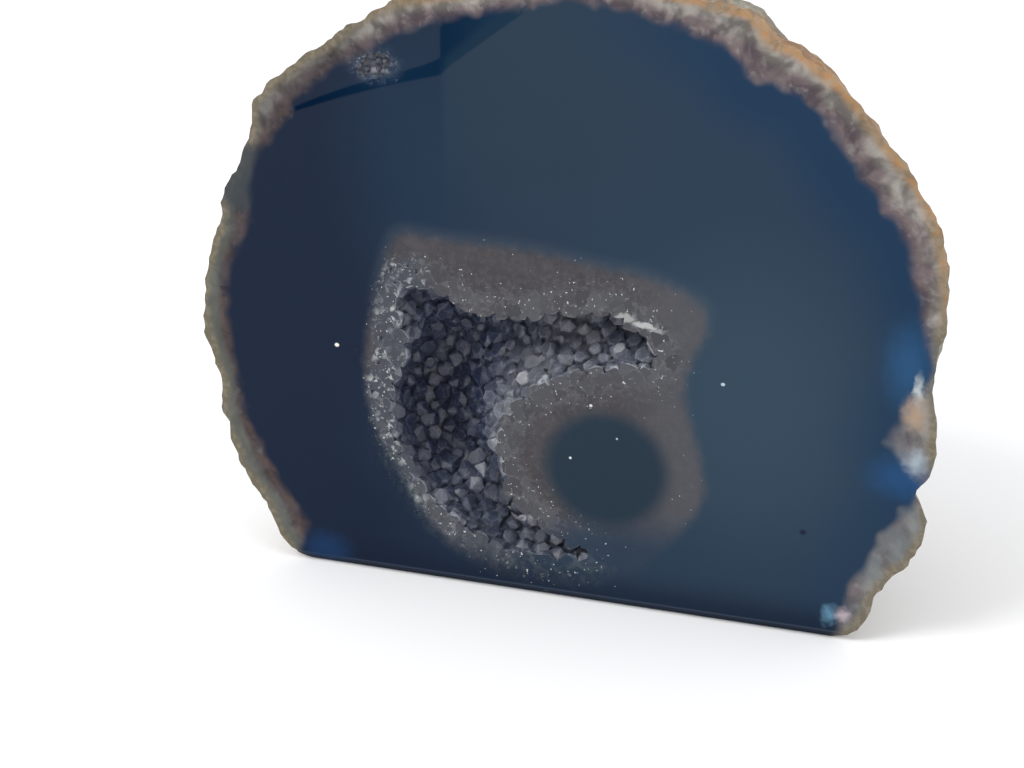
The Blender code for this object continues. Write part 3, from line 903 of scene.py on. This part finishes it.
def quartz_ring(face, stone, mottled, fine):
    """The grey quartz round the hollow, with cut crystals next to the hollow."""
    grey = face.blend(face.fade(mottled, 0.35, 0.7), tuple(stone.quartz), QUARTZ_WARM)
    near = face.fade(face.hollow, 5.5, 1.5, low=0.12, high=0.6)
    specks = face.fade(face.grain(0.75, 3.0, 0.7), 0.46, 0.66)
    grey = face.blend(face.times(specks, near), grey, QUARTZ_SPECK)
    dents = face.fade(face.grain(1.1, 2.0, 0.6), 0.56, 0.68)
    grey = face.blend(face.times(dents, near), grey, QUARTZ_DENT)
    grey = face.blend(face.fade(face.across, 8.0, 18.0, high=0.6), grey, QUARTZ_RIGHT)

    tone = face.chance(face.cells(CUT_CRYSTAL, place=face.bent)["Color"])
    cut = face.blend(tone, CUT_DARK, CUT_PALE)
    edges = face.cells(CUT_CRYSTAL, "DISTANCE_TO_EDGE", face.bent)["Distance"]
    broken = face.times(face.fade(edges, 0.11, 0.0), face.fade(fine, 0.42, 0.60))
    cut = face.blend(face.times(broken, 0.35), cut, CUT_EDGE)
    near_hollow = face.plus(face.hollow, face.times(mottled, 2.0))
    return face.blend(face.fade(near_hollow, 4.4, 2.6, high=0.85), grey, cut)


def frosted_ring(face, grey, mottled, frost, low_side):
    """The rough white crust in the ring, thick on the hollow's left and thin below it."""
    left_side = face.fade(face.plus(face.across, face.times(mottled, 3.0)), -15.5, -19.5)
    where = face.larger(left_side, face.times(low_side, 0.45))
    zone = face.times(face.fade(face.hollow, 4.6, 2.6), where)
    grey = face.blend(face.times(zone, 0.8), grey, FROST_SHADE)
    clump = face.fade(face.grain(3.4, 1.0), 0.38, 0.66, low=0.2, high=0.75)
    clump = face.larger(clump, face.spot(-23.0, 26.0, 3.5, 5.5, 0.6))
    grit = face.cells(1.25, place=face.bent)
    pale = face.fade(face.chance(grit["Color"]), 0.55, 0.95)
    pale = face.times(pale, face.fade(grit["Distance"], 0.62, 0.3))
    pale = face.larger(pale, face.fade(frost, 0.55, 0.69))
    share = face.times(face.times(pale, zone), clump)
    return face.blend(share, grey, FROST_WHITE), zone


def joined_body(face, blue, grey, low_side):
    """The blue and the quartz as one body, with the halo, the blotches and the dark foot."""
    wander = face.times(face.minus(face.grain(1.6, 2.0), 0.5), 1.4)
    body = face.blend(face.fade(face.plus(face.quartz, wander), -0.9, 1.3), blue, grey)
    slope = face.fade(face.across, -8.0, 6.0, low=2.0, high=9.0)
    lower = face.fade(face.minus(face.up, slope), 7.5, -1.0, high=0.9)
    body = face.blend(lower, body, blue)
    halo = face.times(face.fade(face.quartz, -2.0, -0.4), face.fade(face.quartz, 1.0, 0.0))
    halo = face.times(halo, face.fade(face.up, 38.0, 46.0, high=0.18))
    body = face.blend(halo, body, HALO)
    zone = face.times(face.fade(face.hollow, 5.0, 1.5), low_side)
    zone = face.times(zone, face.fade(face.quartz, -2.2, 0.2))
    blotches = face.fade(face.grain(1.5, 3.0, 0.62, place=face.bent), 0.44, 0.62)
    body = face.blend(face.times(face.times(blotches, zone), 0.5), body, BLOTCH)
    body = face.blend(face.fade(face.up, 6.5, 0.5, high=0.85), body, DARK_FOOT)
    crease = face.times(face.fade(face.up, 0.92, 1.0), face.fade(face.up, 1.3, 1.05))
    return face.blend(face.times(crease, 0.4), body, CREASE)


def marked_body(face, body, core, frost):
    """The body with its flecks, its lone marks and the sparkle round the small pit."""
    flecks = face.grain(0.42, 1.0, 0.5)
    crowd = face.times(face.fade(face.grain(2.6, 1.0), 0.4, 0.7), 0.045)
    least = face.minus(face.fade(face.hollow, 6.5, 1.5, low=0.80, high=0.73), crowd)
    fleck = face.fade(face.minus(flecks, least), 0.0, 0.03)
    fleck = face.times(fleck, face.fade(face.quartz, -1.5, 0.5))
    fleck = face.times(fleck, face.minus(1.0, core))
    body = face.blend(face.times(fleck, 0.75), body, FLECK)
    for x, z, size_x, size_z, colour in CRISP_MARKS:
        place = face.bent if size_x > 1.0 else face.place
        body = face.blend(face.spot(x, z, size_x, size_z, 0.35, place), body, colour)
    sparkle = face.spot(SMALL_PIT[0], SMALL_PIT[1], 3.6, 2.4, 0.4, face.bent)
    sparkle = face.times(sparkle, face.fade(frost, 0.38, 0.62, low=0.25))
    body = face.blend(face.times(sparkle, 0.7), body, PIT_SHADE)
    bright = face.times(sparkle, face.fade(flecks, 0.64, 0.74, high=0.7))
    return face.blend(bright, body, PIT_SPARKLE)


def rind_pattern(face, fine):
    """How much of the rind shows, and its colour: plum and cream streaks, an ochre skin edge and a painted
    dark reflection on the upper left.
    """
    scallop = face.cells(2.4, "SMOOTH_F1")["Distance"]
    inner = face.plus(face.rind, face.times(face.minus(scallop, 0.35), 1.8))
    share = face.fade(inner, 0.3, -1.4)
    patches = face.grain(4.5, 3.0, 0.6, 0.6)
    turn = face.math("ARCTAN2", face.minus(face.up, CENTRE_HEIGHT / MM), face.across)
    unrolled = face.node("ShaderNodeCombineXYZ", {0: face.times(turn, 48.0), 1: face.times(face.rim, 0.8)})
    streaks = face.grain(3.3, 3.0, 0.5, 0.6, unrolled.outputs[0])
    width = face.larger(face.minus(face.rim, face.rind), 0.5)
    outward = face.minus(1.0, face.math("DIVIDE", face.rim, width))
    outward = face.plus(outward, face.times(face.minus(patches, 0.5), 1.1))
    colour = face.blend(face.fade(streaks, 0.38, 0.62), RIND_PLUM, RIND_ROSE)
    greyer = face.blend(face.fade(streaks, 0.40, 0.66), RIND_GREY, RIND_CREAM)
    colour = face.blend(face.fade(outward, 0.30, 0.75), colour, greyer)
    glassy = face.fade(face.grain(1.7, 2.0, 0.5), 0.55, 0.75, high=0.35)
    colour = face.blend(glassy, colour, RIND_GLASSY)

    shaded = face.fade(face.across, -19.0, -34.0, high=0.88)
    colour = face.blend(shaded, colour, RIND_LEFT_SHADE, "MULTIPLY")
    brown = face.times(face.fade(face.rind, -3.6, -1.2), face.fade(face.across, -30.0, -38.0))
    brown = face.times(brown, face.fade(patches, 0.42, 0.58))
    colour = face.blend(face.times(brown, 0.7), colour, RIND_BROWN)
    low_right = face.times(face.fade(face.across, 30.0, 42.0), face.fade(face.up, 40.0, 30.0))
    low_right = face.times(low_right, face.fade(patches, 0.35, 0.62, low=0.3))
    colour = face.blend(face.times(low_right, 0.75), colour, RIND_LOW_RIGHT)
    green = face.times(face.fade(face.across, -30.0, -40.0), face.fade(face.up, 60.0, 40.0))
    green = face.times(green, face.fade(face.rim, 3.2, 1.4))
    colour = face.blend(face.times(green, 0.7), colour, RIND_GREEN)

    skin_edge = face.fade(face.plus(face.rim, face.times(patches, 2.4)), 2.9, 1.5)
    warm = face.fade(face.plus(face.across, face.up), 48.0, 80.0)
    warm = face.times(warm, face.fade(face.up, 42.0, 56.0))
    warm = face.times(warm, face.fade(patches, 0.3, 0.6))
    edge = face.blend(warm, EDGE_DULL, EDGE_OCHRE)
    edge = face.blend(face.fade(fine, 0.45, 0.6, high=0.45), edge, EDGE_PALE)
    colour = face.blend(face.times(skin_edge, 0.85), colour, edge)
    # Painted reflection: a dark bluish patch where the mirrored dark stripe crosses the rind
    painted_dark_reflection = face.spot(-46.3, 56.2, 4.6, 5.0, 0.25, face.bent)
    return share, face.blend(face.times(painted_dark_reflection, 0.85), colour, RIND_DARK_REFLECTION)


def polished_face_material(stone):
    """Polished agate: blue inside a brown rind, with grey quartz round the hollow."""
    face = Finish("polished agate")
    face.rim, face.rind = face.held("rim_mm"), face.held("rind_mm")
    face.quartz, face.hollow = face.held("quartz_mm"), face.held("hollow_mm")
    face.bent = face.pushed(0.9, 2.0, 0.5, 1.7)
    cloud = face.grain(26.0, 2.0)
    mottled = face.grain(3.0, 3.0, 0.6)
    fine = face.grain(0.8, 2.0)
    frost = face.grain(1.15, 3.0, 0.62, place=face.bent)
    low_side = face.fade(face.plus(face.up, face.times(face.across, 0.35)), 11.0, 7.0)

    blue = blue_body(face, stone, cloud)
    grey = quartz_ring(face, stone, mottled, fine)
    grey, frosted = frosted_ring(face, grey, mottled, frost, low_side)
    body = joined_body(face, blue, grey, low_side)
    base = face.fade(face.up, 0.04, 0.01)
    body = face.blend(base, body, face.blend(cloud, BASE_DARK, BASE_PALE))
    core = face.spot(*CORE, 0.19)
    body = marked_body(face, face.blend(core, body, CORE_BLUE), core, frost)
    rind_share, rind_colour = rind_pattern(face, fine)
    body = face.blend(rind_share, body, rind_colour)
    # Among these, the painted glow of light through the thin right edge
    for x, z, size_x, size_z, colour in SOFT_MARKS:
        mark = face.spot(x, z, size_x, size_z, 0.9, face.bent)
        body = face.blend(face.times(mark, 0.8), body, colour)
    face.give("Base Color", body)

    rough = face.fade(rind_share, 0.0, 1.0, "LINEAR", 0.03, 0.3)
    rough = face.plus(rough, face.times(frosted, 0.25))
    rough = face.plus(rough, face.times(base, 0.45))
    face.give("Roughness", rough)
    face.give("IOR", QUARTZ_IOR)
    # The even value stays on the socket under the link
    face.give("Specular IOR Level", FACE_GLOSS)
    face.give("Specular IOR Level", face.fade(face.up, 0.88, 1.02, "LINEAR", 0.02, FACE_GLOSS))
    uneven = face.bump(fine, 0.09 * MM, face.times(rind_share, 0.9))
    uneven = face.bump(frost, 0.6 * MM, face.times(frosted, 0.9), uneven)
    face.give("Normal", uneven)
    return face.material


def rough_skin_material():
    """The nodule's natural skin: mottled brown, ochre and grey, dry and grainy."""
    skin = Finish("rough rind skin")
    broad = skin.grain(14.0, 4.0, 0.6, 0.6)
    middle = skin.grain(4.0, 4.0, 0.6, 0.3)
    small = skin.grain(0.9, 3.0, 0.65)
    brown = skin.blend(skin.fade(middle, 0.35, 0.65), SKIN_DARK_BROWN, SKIN_BROWN)
    grey = skin.blend(skin.fade(middle, 0.4, 0.65), SKIN_DARK_GREY, SKIN_GREY)
    colour = skin.blend(skin.fade(broad, 0.42, 0.58), brown, grey)
    upper_right = skin.plus(skin.times(skin.across, 0.7), skin.up)
    orange = skin.times(skin.fade(upper_right, 52.0, 88.0), skin.fade(broad, 0.60, 0.40))
    ochre = skin.blend(skin.fade(middle, 0.38, 0.62), SKIN_DARK_OCHRE, SKIN_OCHRE)
    colour = skin.blend(skin.times(orange, 0.8), colour, ochre)
    pale = skin.fade(small, 0.58, 0.75)
    colour = skin.blend(skin.times(pale, 0.5), colour, SKIN_PALE)
    ragged = skin.pushed(0.45, 3.0, 0.0, 5.0)
    dark = skin.fade(skin.cells(4.6, place=ragged)["Distance"], 0.42, 0.08)
    dark = skin.times(dark, skin.fade(broad, 0.38, 0.6))
    colour = skin.blend(skin.times(dark, 0.65), colour, SKIN_DARK_MARK)
    skin.give("Base Color", colour)
    skin.give("Roughness", skin.fade(middle, 0.3, 0.7, "LINEAR", 0.55, 0.85))
    relief = skin.plus(skin.times(middle, 0.6), skin.times(small, 0.4))
    skin.give("Normal", skin.bump(relief, 0.9 * MM, 0.8))
    return skin.material


def crystal_shade(quartz, crystals, patch, tail):
    """The crystals' colour by place: grey on the right and bluer in the deep left, darker in the lower arm
    and at the right end, with painted shade deep in the hollow and painted light on the left next to the
    face.
    """
    face = FACE_Y / MM
    left = quartz.fade(quartz.across, -7.0, -17.0)
    shade = quartz.blend(left, tuple(crystals.colour), CRYSTAL_LEFT)
    # Partly the grey of the cut quartz, partly painted light: the left crystals next to the face are
    # lighter
    grey_lit_near_face = quartz.times(quartz.fade(quartz.depth, face + 6.0, face + 1.0), left)
    shade = quartz.blend(quartz.times(grey_lit_near_face, 0.85), shade, CRYSTAL_GREY_NEAR_FACE_LIT)
    ragged = quartz.plus(quartz.across, quartz.times(patch, 7.0))
    # Partly the crystals' deeper blue, partly painted shade: darker with depth in the hollow, most on the
    # left
    deep = quartz.fade(quartz.depth, face + 2.0, face + 12.0, "LINEAR")
    deep = quartz.times(deep, quartz.fade(ragged, -11.5, -4.5, low=1.0, high=0.4))
    shade = quartz.blend(deep, shade, CRYSTAL_DEEP_BLUE_SHADE)
    shade = quartz.blend(quartz.times(tail, 0.85), shade, CRYSTAL_TAIL)
    shade = quartz.blend(quartz.fade(ragged, 6.5, 11.5, high=0.7), shade, CRYSTAL_RIGHT_END)
    return quartz.blend(quartz.fade(patch, 0.4, 0.65, high=0.35), shade, CRYSTAL_PATCH)


def crystal_material(crystals):
    """Smoky quartz: glassy faces, with painted highlights along the edges, painted shade in the gaps and
    the small pit, and partly painted shade deep in the hollow.
    """
    quartz = Finish("quartz crystal")
    face = FACE_Y / MM
    patch = quartz.grain(3.2, 2.0)
    tail = quartz.times(quartz.fade(quartz.up, 19.5, 12.5), quartz.fade(quartz.across, -19.0, -11.0))
    shade = crystal_shade(quartz, crystals, patch, tail)

    frost = quartz.grain(0.6, 3.0, 0.6)
    shade = quartz.blend(quartz.fade(frost, 0.54, 0.74, high=0.18), shade, CRYSTAL_FROST)
    cloudy = quartz.grain(1.5, 3.0, 0.65)
    dim = quartz.fade(cloudy, 0.36, 0.52, low=0.6, high=0.0)
    shade = quartz.blend(dim, shade, CRYSTAL_DIM, "MULTIPLY")
    shade = quartz.blend(quartz.fade(cloudy, 0.5, 0.68, high=0.18), shade, CRYSTAL_CLOUD)
    inside = quartz.cells(1.5, "DISTANCE_TO_EDGE")["Distance"]
    inside = quartz.times(quartz.fade(inside, 0.07, 0.0), quartz.fade(cloudy, 0.42, 0.6))
    shade = quartz.blend(quartz.times(inside, 0.35), shade, CRYSTAL_FLAW)

    # Painted shade: darker where the gaps between the crystals hide the sky
    open_sky = quartz.node("ShaderNodeAmbientOcclusion", {"Distance": 1.4 * MM}, samples=2).outputs["AO"]
    shade = quartz.blend(quartz.fade(open_sky, 0.6, 0.1, high=0.15), shade, CRYSTAL_GAP_SHADE)
    # Painted highlight: paler along the crystals' open edges, where they catch the light
    rounded = quartz.node("ShaderNodeBevel", {"Radius": 0.3 * MM}, samples=2).outputs[0]
    flat = quartz.node("ShaderNodeNewGeometry").outputs["True Normal"]
    turned = quartz.vector("DOT_PRODUCT", {0: rounded, 1: flat}, "Value")
    edge = quartz.times(quartz.fade(turned, 0.997, 0.93), quartz.fade(open_sky, 0.35, 0.75))
    edge = quartz.times(edge, quartz.fade(tail, 0.2, 1.0, low=1.0, high=0.3))
    shade = quartz.blend(quartz.times(edge, 0.42), shade, CRYSTAL_EDGE_HIGHLIGHT)
    chipped = quartz.fade(quartz.chance(quartz.cells(0.55)["Color"]), 0.55, 0.75)
    chipped = quartz.times(quartz.fade(quartz.depth, face + 1.1, face + 0.3), chipped)
    chipped = quartz.times(chipped, quartz.fade(tail, 0.3, 0.9, low=1.0, high=0.25))
    shade = quartz.blend(quartz.times(chipped, 0.45), shade, CRYSTAL_CHIP)
    # Painted shade: the crystals in the small pit are darker and bluer
    small_pit_shade = quartz.times(quartz.fade(quartz.up, 60.0, 64.0), 0.8)
    shade = quartz.blend(small_pit_shade, shade, CRYSTAL_PIT_SHADE, "MULTIPLY")

    quartz.give("Base Color", shade)
    quartz.give("Subsurface Weight", 0.85)
    quartz.give("Subsurface Radius", (1.0, 1.0, 1.0))
    quartz.give("Subsurface Scale", 3.0 * MM)
    quartz.give("Roughness", 0.45)
    quartz.give("IOR", QUARTZ_IOR)
    quartz.give("Transmission Weight", 0.2)
    quartz.give("Coat Weight", 0.38)
    quartz.give("Coat IOR", QUARTZ_IOR)
    quartz.give("Coat Roughness", 0.15)
    quartz.give("Normal", quartz.node("ShaderNodeBevel", {"Radius": 0.6 * MM}, samples=2).outputs[0])
    quartz.give("Coat Normal", quartz.bump(frost, 0.2 * MM, 0.3))
    return quartz.material


def plain_material(name, colour, roughness):
    material = bpy.data.materials.new(name)
    material.use_nodes = True
    surface = material.node_tree.nodes["Principled BSDF"]
    surface.inputs["Base Color"].default_value = colour
    surface.inputs["Roughness"].default_value = roughness
    return material


# Pieces

def on_polished_face(face):
    return face.normal.y < -0.99 and abs(face.calc_center_median().y - FACE_Y) < 0.01 * MM


def finish_flat_faces(obj, polished_slot, step, keep_others):
    """Divides the flat faces, gives them their material and stores where each point lies."""
    bm = bmesh.new()
    bm.from_mesh(obj.data)
    bm.normal_update()
    front = [face for face in bm.faces if on_polished_face(face)]
    lattice(bm, lattice(bm, front, 0, step), 2, step)
    ground = [face for face in bm.faces if face.normal.z < -0.6 and face.calc_area() > 20 * MM * MM
              and face.calc_center_median().z < 1.0 * MM]
    lattice(bm, lattice(bm, ground, 0, step), 1, 2 * step)
    bm.normal_update()
    for face in bm.faces:
        middle = face.calc_center_median()
        x, z = middle.x / MM, middle.z / MM
        on_face = on_polished_face(face)
        on_bevel = middle.z < 2 * MM and abs(face.normal.y + face.normal.z + math.sqrt(2)) < 0.01
        on_base = face.normal.z < -0.99 and middle.z < 0.01 * MM
        flat = on_face or on_bevel or on_base
        face.smooth = not flat and keep_others
        if flat:
            face.material_index = polished_slot
        elif keep_others:
            in_hollow = math.hypot(x + 8, z - 25) < 27 and middle.y < FACE_Y + 22 * MM
            in_pit = math.hypot(x - SMALL_PIT[0], z - SMALL_PIT[1]) < 4 and middle.y < FACE_Y + 3 * MM
            face.material_index = 2 if in_hollow or in_pit else 1
            face.smooth = face.material_index == 1
    bm.to_mesh(obj.data)
    bm.free()
    store_face_places(obj.data)


class GEODE_OT_stone(bpy.types.Operator):
    """Build the stone: polished face, rough back and sawn base"""

    bl_idname = "geode.stone"
    bl_label = "Stone"

    def execute(self, context):
        settings = context.scene.geode_stone
        crystals = context.scene.geode_crystals
        bm = nodule(settings)
        saw(bm, (0, 0, 0), (0, 0, -1))
        saw(bm, (0, FACE_Y, settings.bevel), (0, -1, -1))
        stone = object_from(bm, "polished_stone")
        crust = hollow_form("crust_outside", crystals.crust)
        pocket = grown_copy(crust, "pocket", 0.005 * MM)
        carve(stone, pocket)
        pit = small_pit()
        carve(stone, pit)
        pits = ring_pits(crystals.seed)
        carve(stone, pits)
        discard(pocket, pits)
        keep_behind_face(pit)
        block = saw_block()
        material = crystal_material(crystals)
        shapes = crystal_shapes(7)
        tree = crystal_tree(shapes, material)
        grow_crystals(pit, tree, {
            "Crust": stone, "Saw": block, "Spacing": 0.85 * MM, "Smallest": 0.38 * MM,
            "Largest": 0.62 * MM, "Lean": 0.5, "Seed": 4})
        discard(stone, block)
        clear_shapes(shapes)
        stone = pit
        stone.name = "polished_stone"
        stone.data.materials.clear()
        stone.data.materials.append(polished_face_material(settings))
        stone.data.materials.append(rough_skin_material())
        stone.data.materials.append(material)
        finish_flat_faces(stone, 0, SAWN_STEP, True)
        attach(stone, "root")
        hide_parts("agate_stone")
        return {"FINISHED"}


class GEODE_OT_crystals(bpy.types.Operator):
    """Grow the crystal lining of the hollow"""

    bl_idname = "geode.crystals"
    bl_label = "Crystal lining"

    def execute(self, context):
        settings = context.scene.geode_crystals
        crust = bpy.data.objects["crust_outside"]
        wall = hollow_form("crystal_lining", 0.0)
        hole = link(bpy.data.objects.new("hole", wall.data.copy()))
        carve(crust, hole)
        block = saw_block()
        keep_behind_face(wall)
        material = bpy.data.materials["quartz crystal"]
        shapes = crystal_shapes(5)
        tree = crystal_tree(shapes, material)
        grow_crystals(wall, tree, {
            "Crust": crust, "Saw": block, "Spacing": settings.spacing, "Smallest": settings.smallest,
            "Largest": settings.largest, "Lean": settings.lean, "Seed": settings.seed})
        clear_shapes(shapes)
        pits = ring_pits(settings.seed)
        carve(wall, pits)
        discard(crust, hole, block, pits)
        if len(wall.data.polygons) < 1000:
            raise RuntimeError("the crystals did not grow")
        wall.data.materials.clear()
        wall.data.materials.append(material)
        wall.data.materials.append(bpy.data.materials["polished agate"])
        finish_flat_faces(wall, 1, CRYSTAL_STEP, False)
        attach(wall, "root")
        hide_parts("crystal_crust")
        return {"FINISHED"}


def mirrored_in_face(column, row, camera, target, settings):
    """The place in front of the face whose mirror image the camera sees at a place in the picture."""
    toward = (target - camera).normalized()
    right = toward.cross(Vector((0, 0, 1))).normalized()
    wide = SENSOR / settings.lens
    aside = (column / PICTURE_WIDTH - 0.5) * wide
    above = (PICTURE_HEIGHT / 2 - row) / PICTURE_WIDTH * wide
    ray = toward + right * aside + right.cross(toward) * above
    on_face = camera + ray * ((FACE_Y - camera.y) / ray.y)
    back = Vector((ray.x, -ray.y, ray.z))
    return on_face + back * (CARD_AHEAD / abs(ray.y))


class GEODE_OT_stage(bpy.types.Operator):
    """Set the floor, the soft lights and the camera"""

    bl_idname = "geode.stage"
    bl_label = "Stage"

    def execute(self, context):
        settings = context.scene.geode_stage
        scene = context.scene
        bm = bmesh.new()
        under = Matrix.Translation((0, 0, -0.1 * MM))
        bmesh.ops.create_grid(bm, x_segments=1, y_segments=1, size=3.0, matrix=under)
        floor = object_from(bm, "floor")
        floor.data.materials.append(plain_material("pale floor", tuple(settings.floor), 0.7))

        world = bpy.data.worlds.new("pale room")
        world.use_nodes = True
        world.node_tree.nodes["Background"].inputs["Color"].default_value = (0.97, 0.98, 1.0, 1.0)
        world.node_tree.nodes["Background"].inputs["Strength"].default_value = 1.02
        scene.world = world
        for name, place, size, power in LAMPS:
            lamp = bpy.data.lights.new(name, "AREA")
            lamp.size = size
            lamp.energy = power
            lit = link(bpy.data.objects.new(name, lamp))
            lit.location = place
            aim = Vector(LAMPS_AIM) - Vector(place)
            lit.rotation_euler = aim.to_track_quat("-Z", "Y").to_euler()

        camera = link(bpy.data.objects.new("camera", bpy.data.cameras.new("camera")))
        target = Vector((-5.78 * MM + ACROSS_ZERO, FACE_Y, 30.53 * MM))
        around, up = settings.azimuth, settings.elevation
        back = Vector((math.sin(around) * math.cos(up), -math.cos(around) * math.cos(up), math.sin(up)))
        camera.location = target + back * settings.distance
        camera.rotation_euler = (-back).to_track_quat("-Z", "Y").to_euler()
        camera.data.sensor_width = SENSOR
        camera.data.lens = settings.lens
        camera.data.clip_start = 0.01
        scene.camera = camera
        scene.view_settings.view_transform = "Standard"

        bm = bmesh.new()
        for corners in DARK_WEDGE:
            spots = [mirrored_in_face(x, y, camera.location, target, settings) for x, y in corners]
            bm.faces.new([bm.verts.new(spot) for spot in spots])
        card = object_from(bm, "dark_card")
        card.data.materials.append(plain_material("dark card", (0.0, 0.0, 0.0, 1.0), 1.0))
        card.visible_camera = card.visible_diffuse = False
        card.visible_shadow = card.visible_transmission = False
        return {"FINISHED"}


class GEODE_PT_panel(bpy.types.Panel):
    """Lists the operators of the geode"""

    bl_label = "Agate Geode"
    bl_idname = "GEODE_PT_panel"
    bl_space_type = "VIEW_3D"
    bl_region_type = "UI"
    bl_category = "Geode"

    def draw(self, context):
        layout = self.layout
        for operator in ("geode.stone", "geode.crystals", "geode.stage"):
            settings = getattr(context.scene, operator.replace(".", "_"))
            box = layout.box()
            for key in settings.bl_rna.properties.keys():
                if key not in ("rna_type", "name"):
                    box.prop(settings, key)
            box.operator(operator)


CLASSES = (
    StoneSettings, CrystalSettings, StageSettings,
    GEODE_OT_stone, GEODE_OT_crystals, GEODE_OT_stage, GEODE_PT_panel,
)


def register():
    for cls in CLASSES:
        bpy.utils.register_class(cls)
    bpy.types.Scene.geode_stone = bpy.props.PointerProperty(type=StoneSettings)
    bpy.types.Scene.geode_crystals = bpy.props.PointerProperty(type=CrystalSettings)
    bpy.types.Scene.geode_stage = bpy.props.PointerProperty(type=StageSettings)


def unregister():
    del bpy.types.Scene.geode_stone
    del bpy.types.Scene.geode_crystals
    del bpy.types.Scene.geode_stage
    for cls in reversed(CLASSES):
        bpy.utils.unregister_class(cls)


def main():
    register()
    bpy.ops.geode.stone()
    bpy.ops.geode.crystals()
    bpy.ops.geode.stage()


if __name__ == "__main__":
    main()
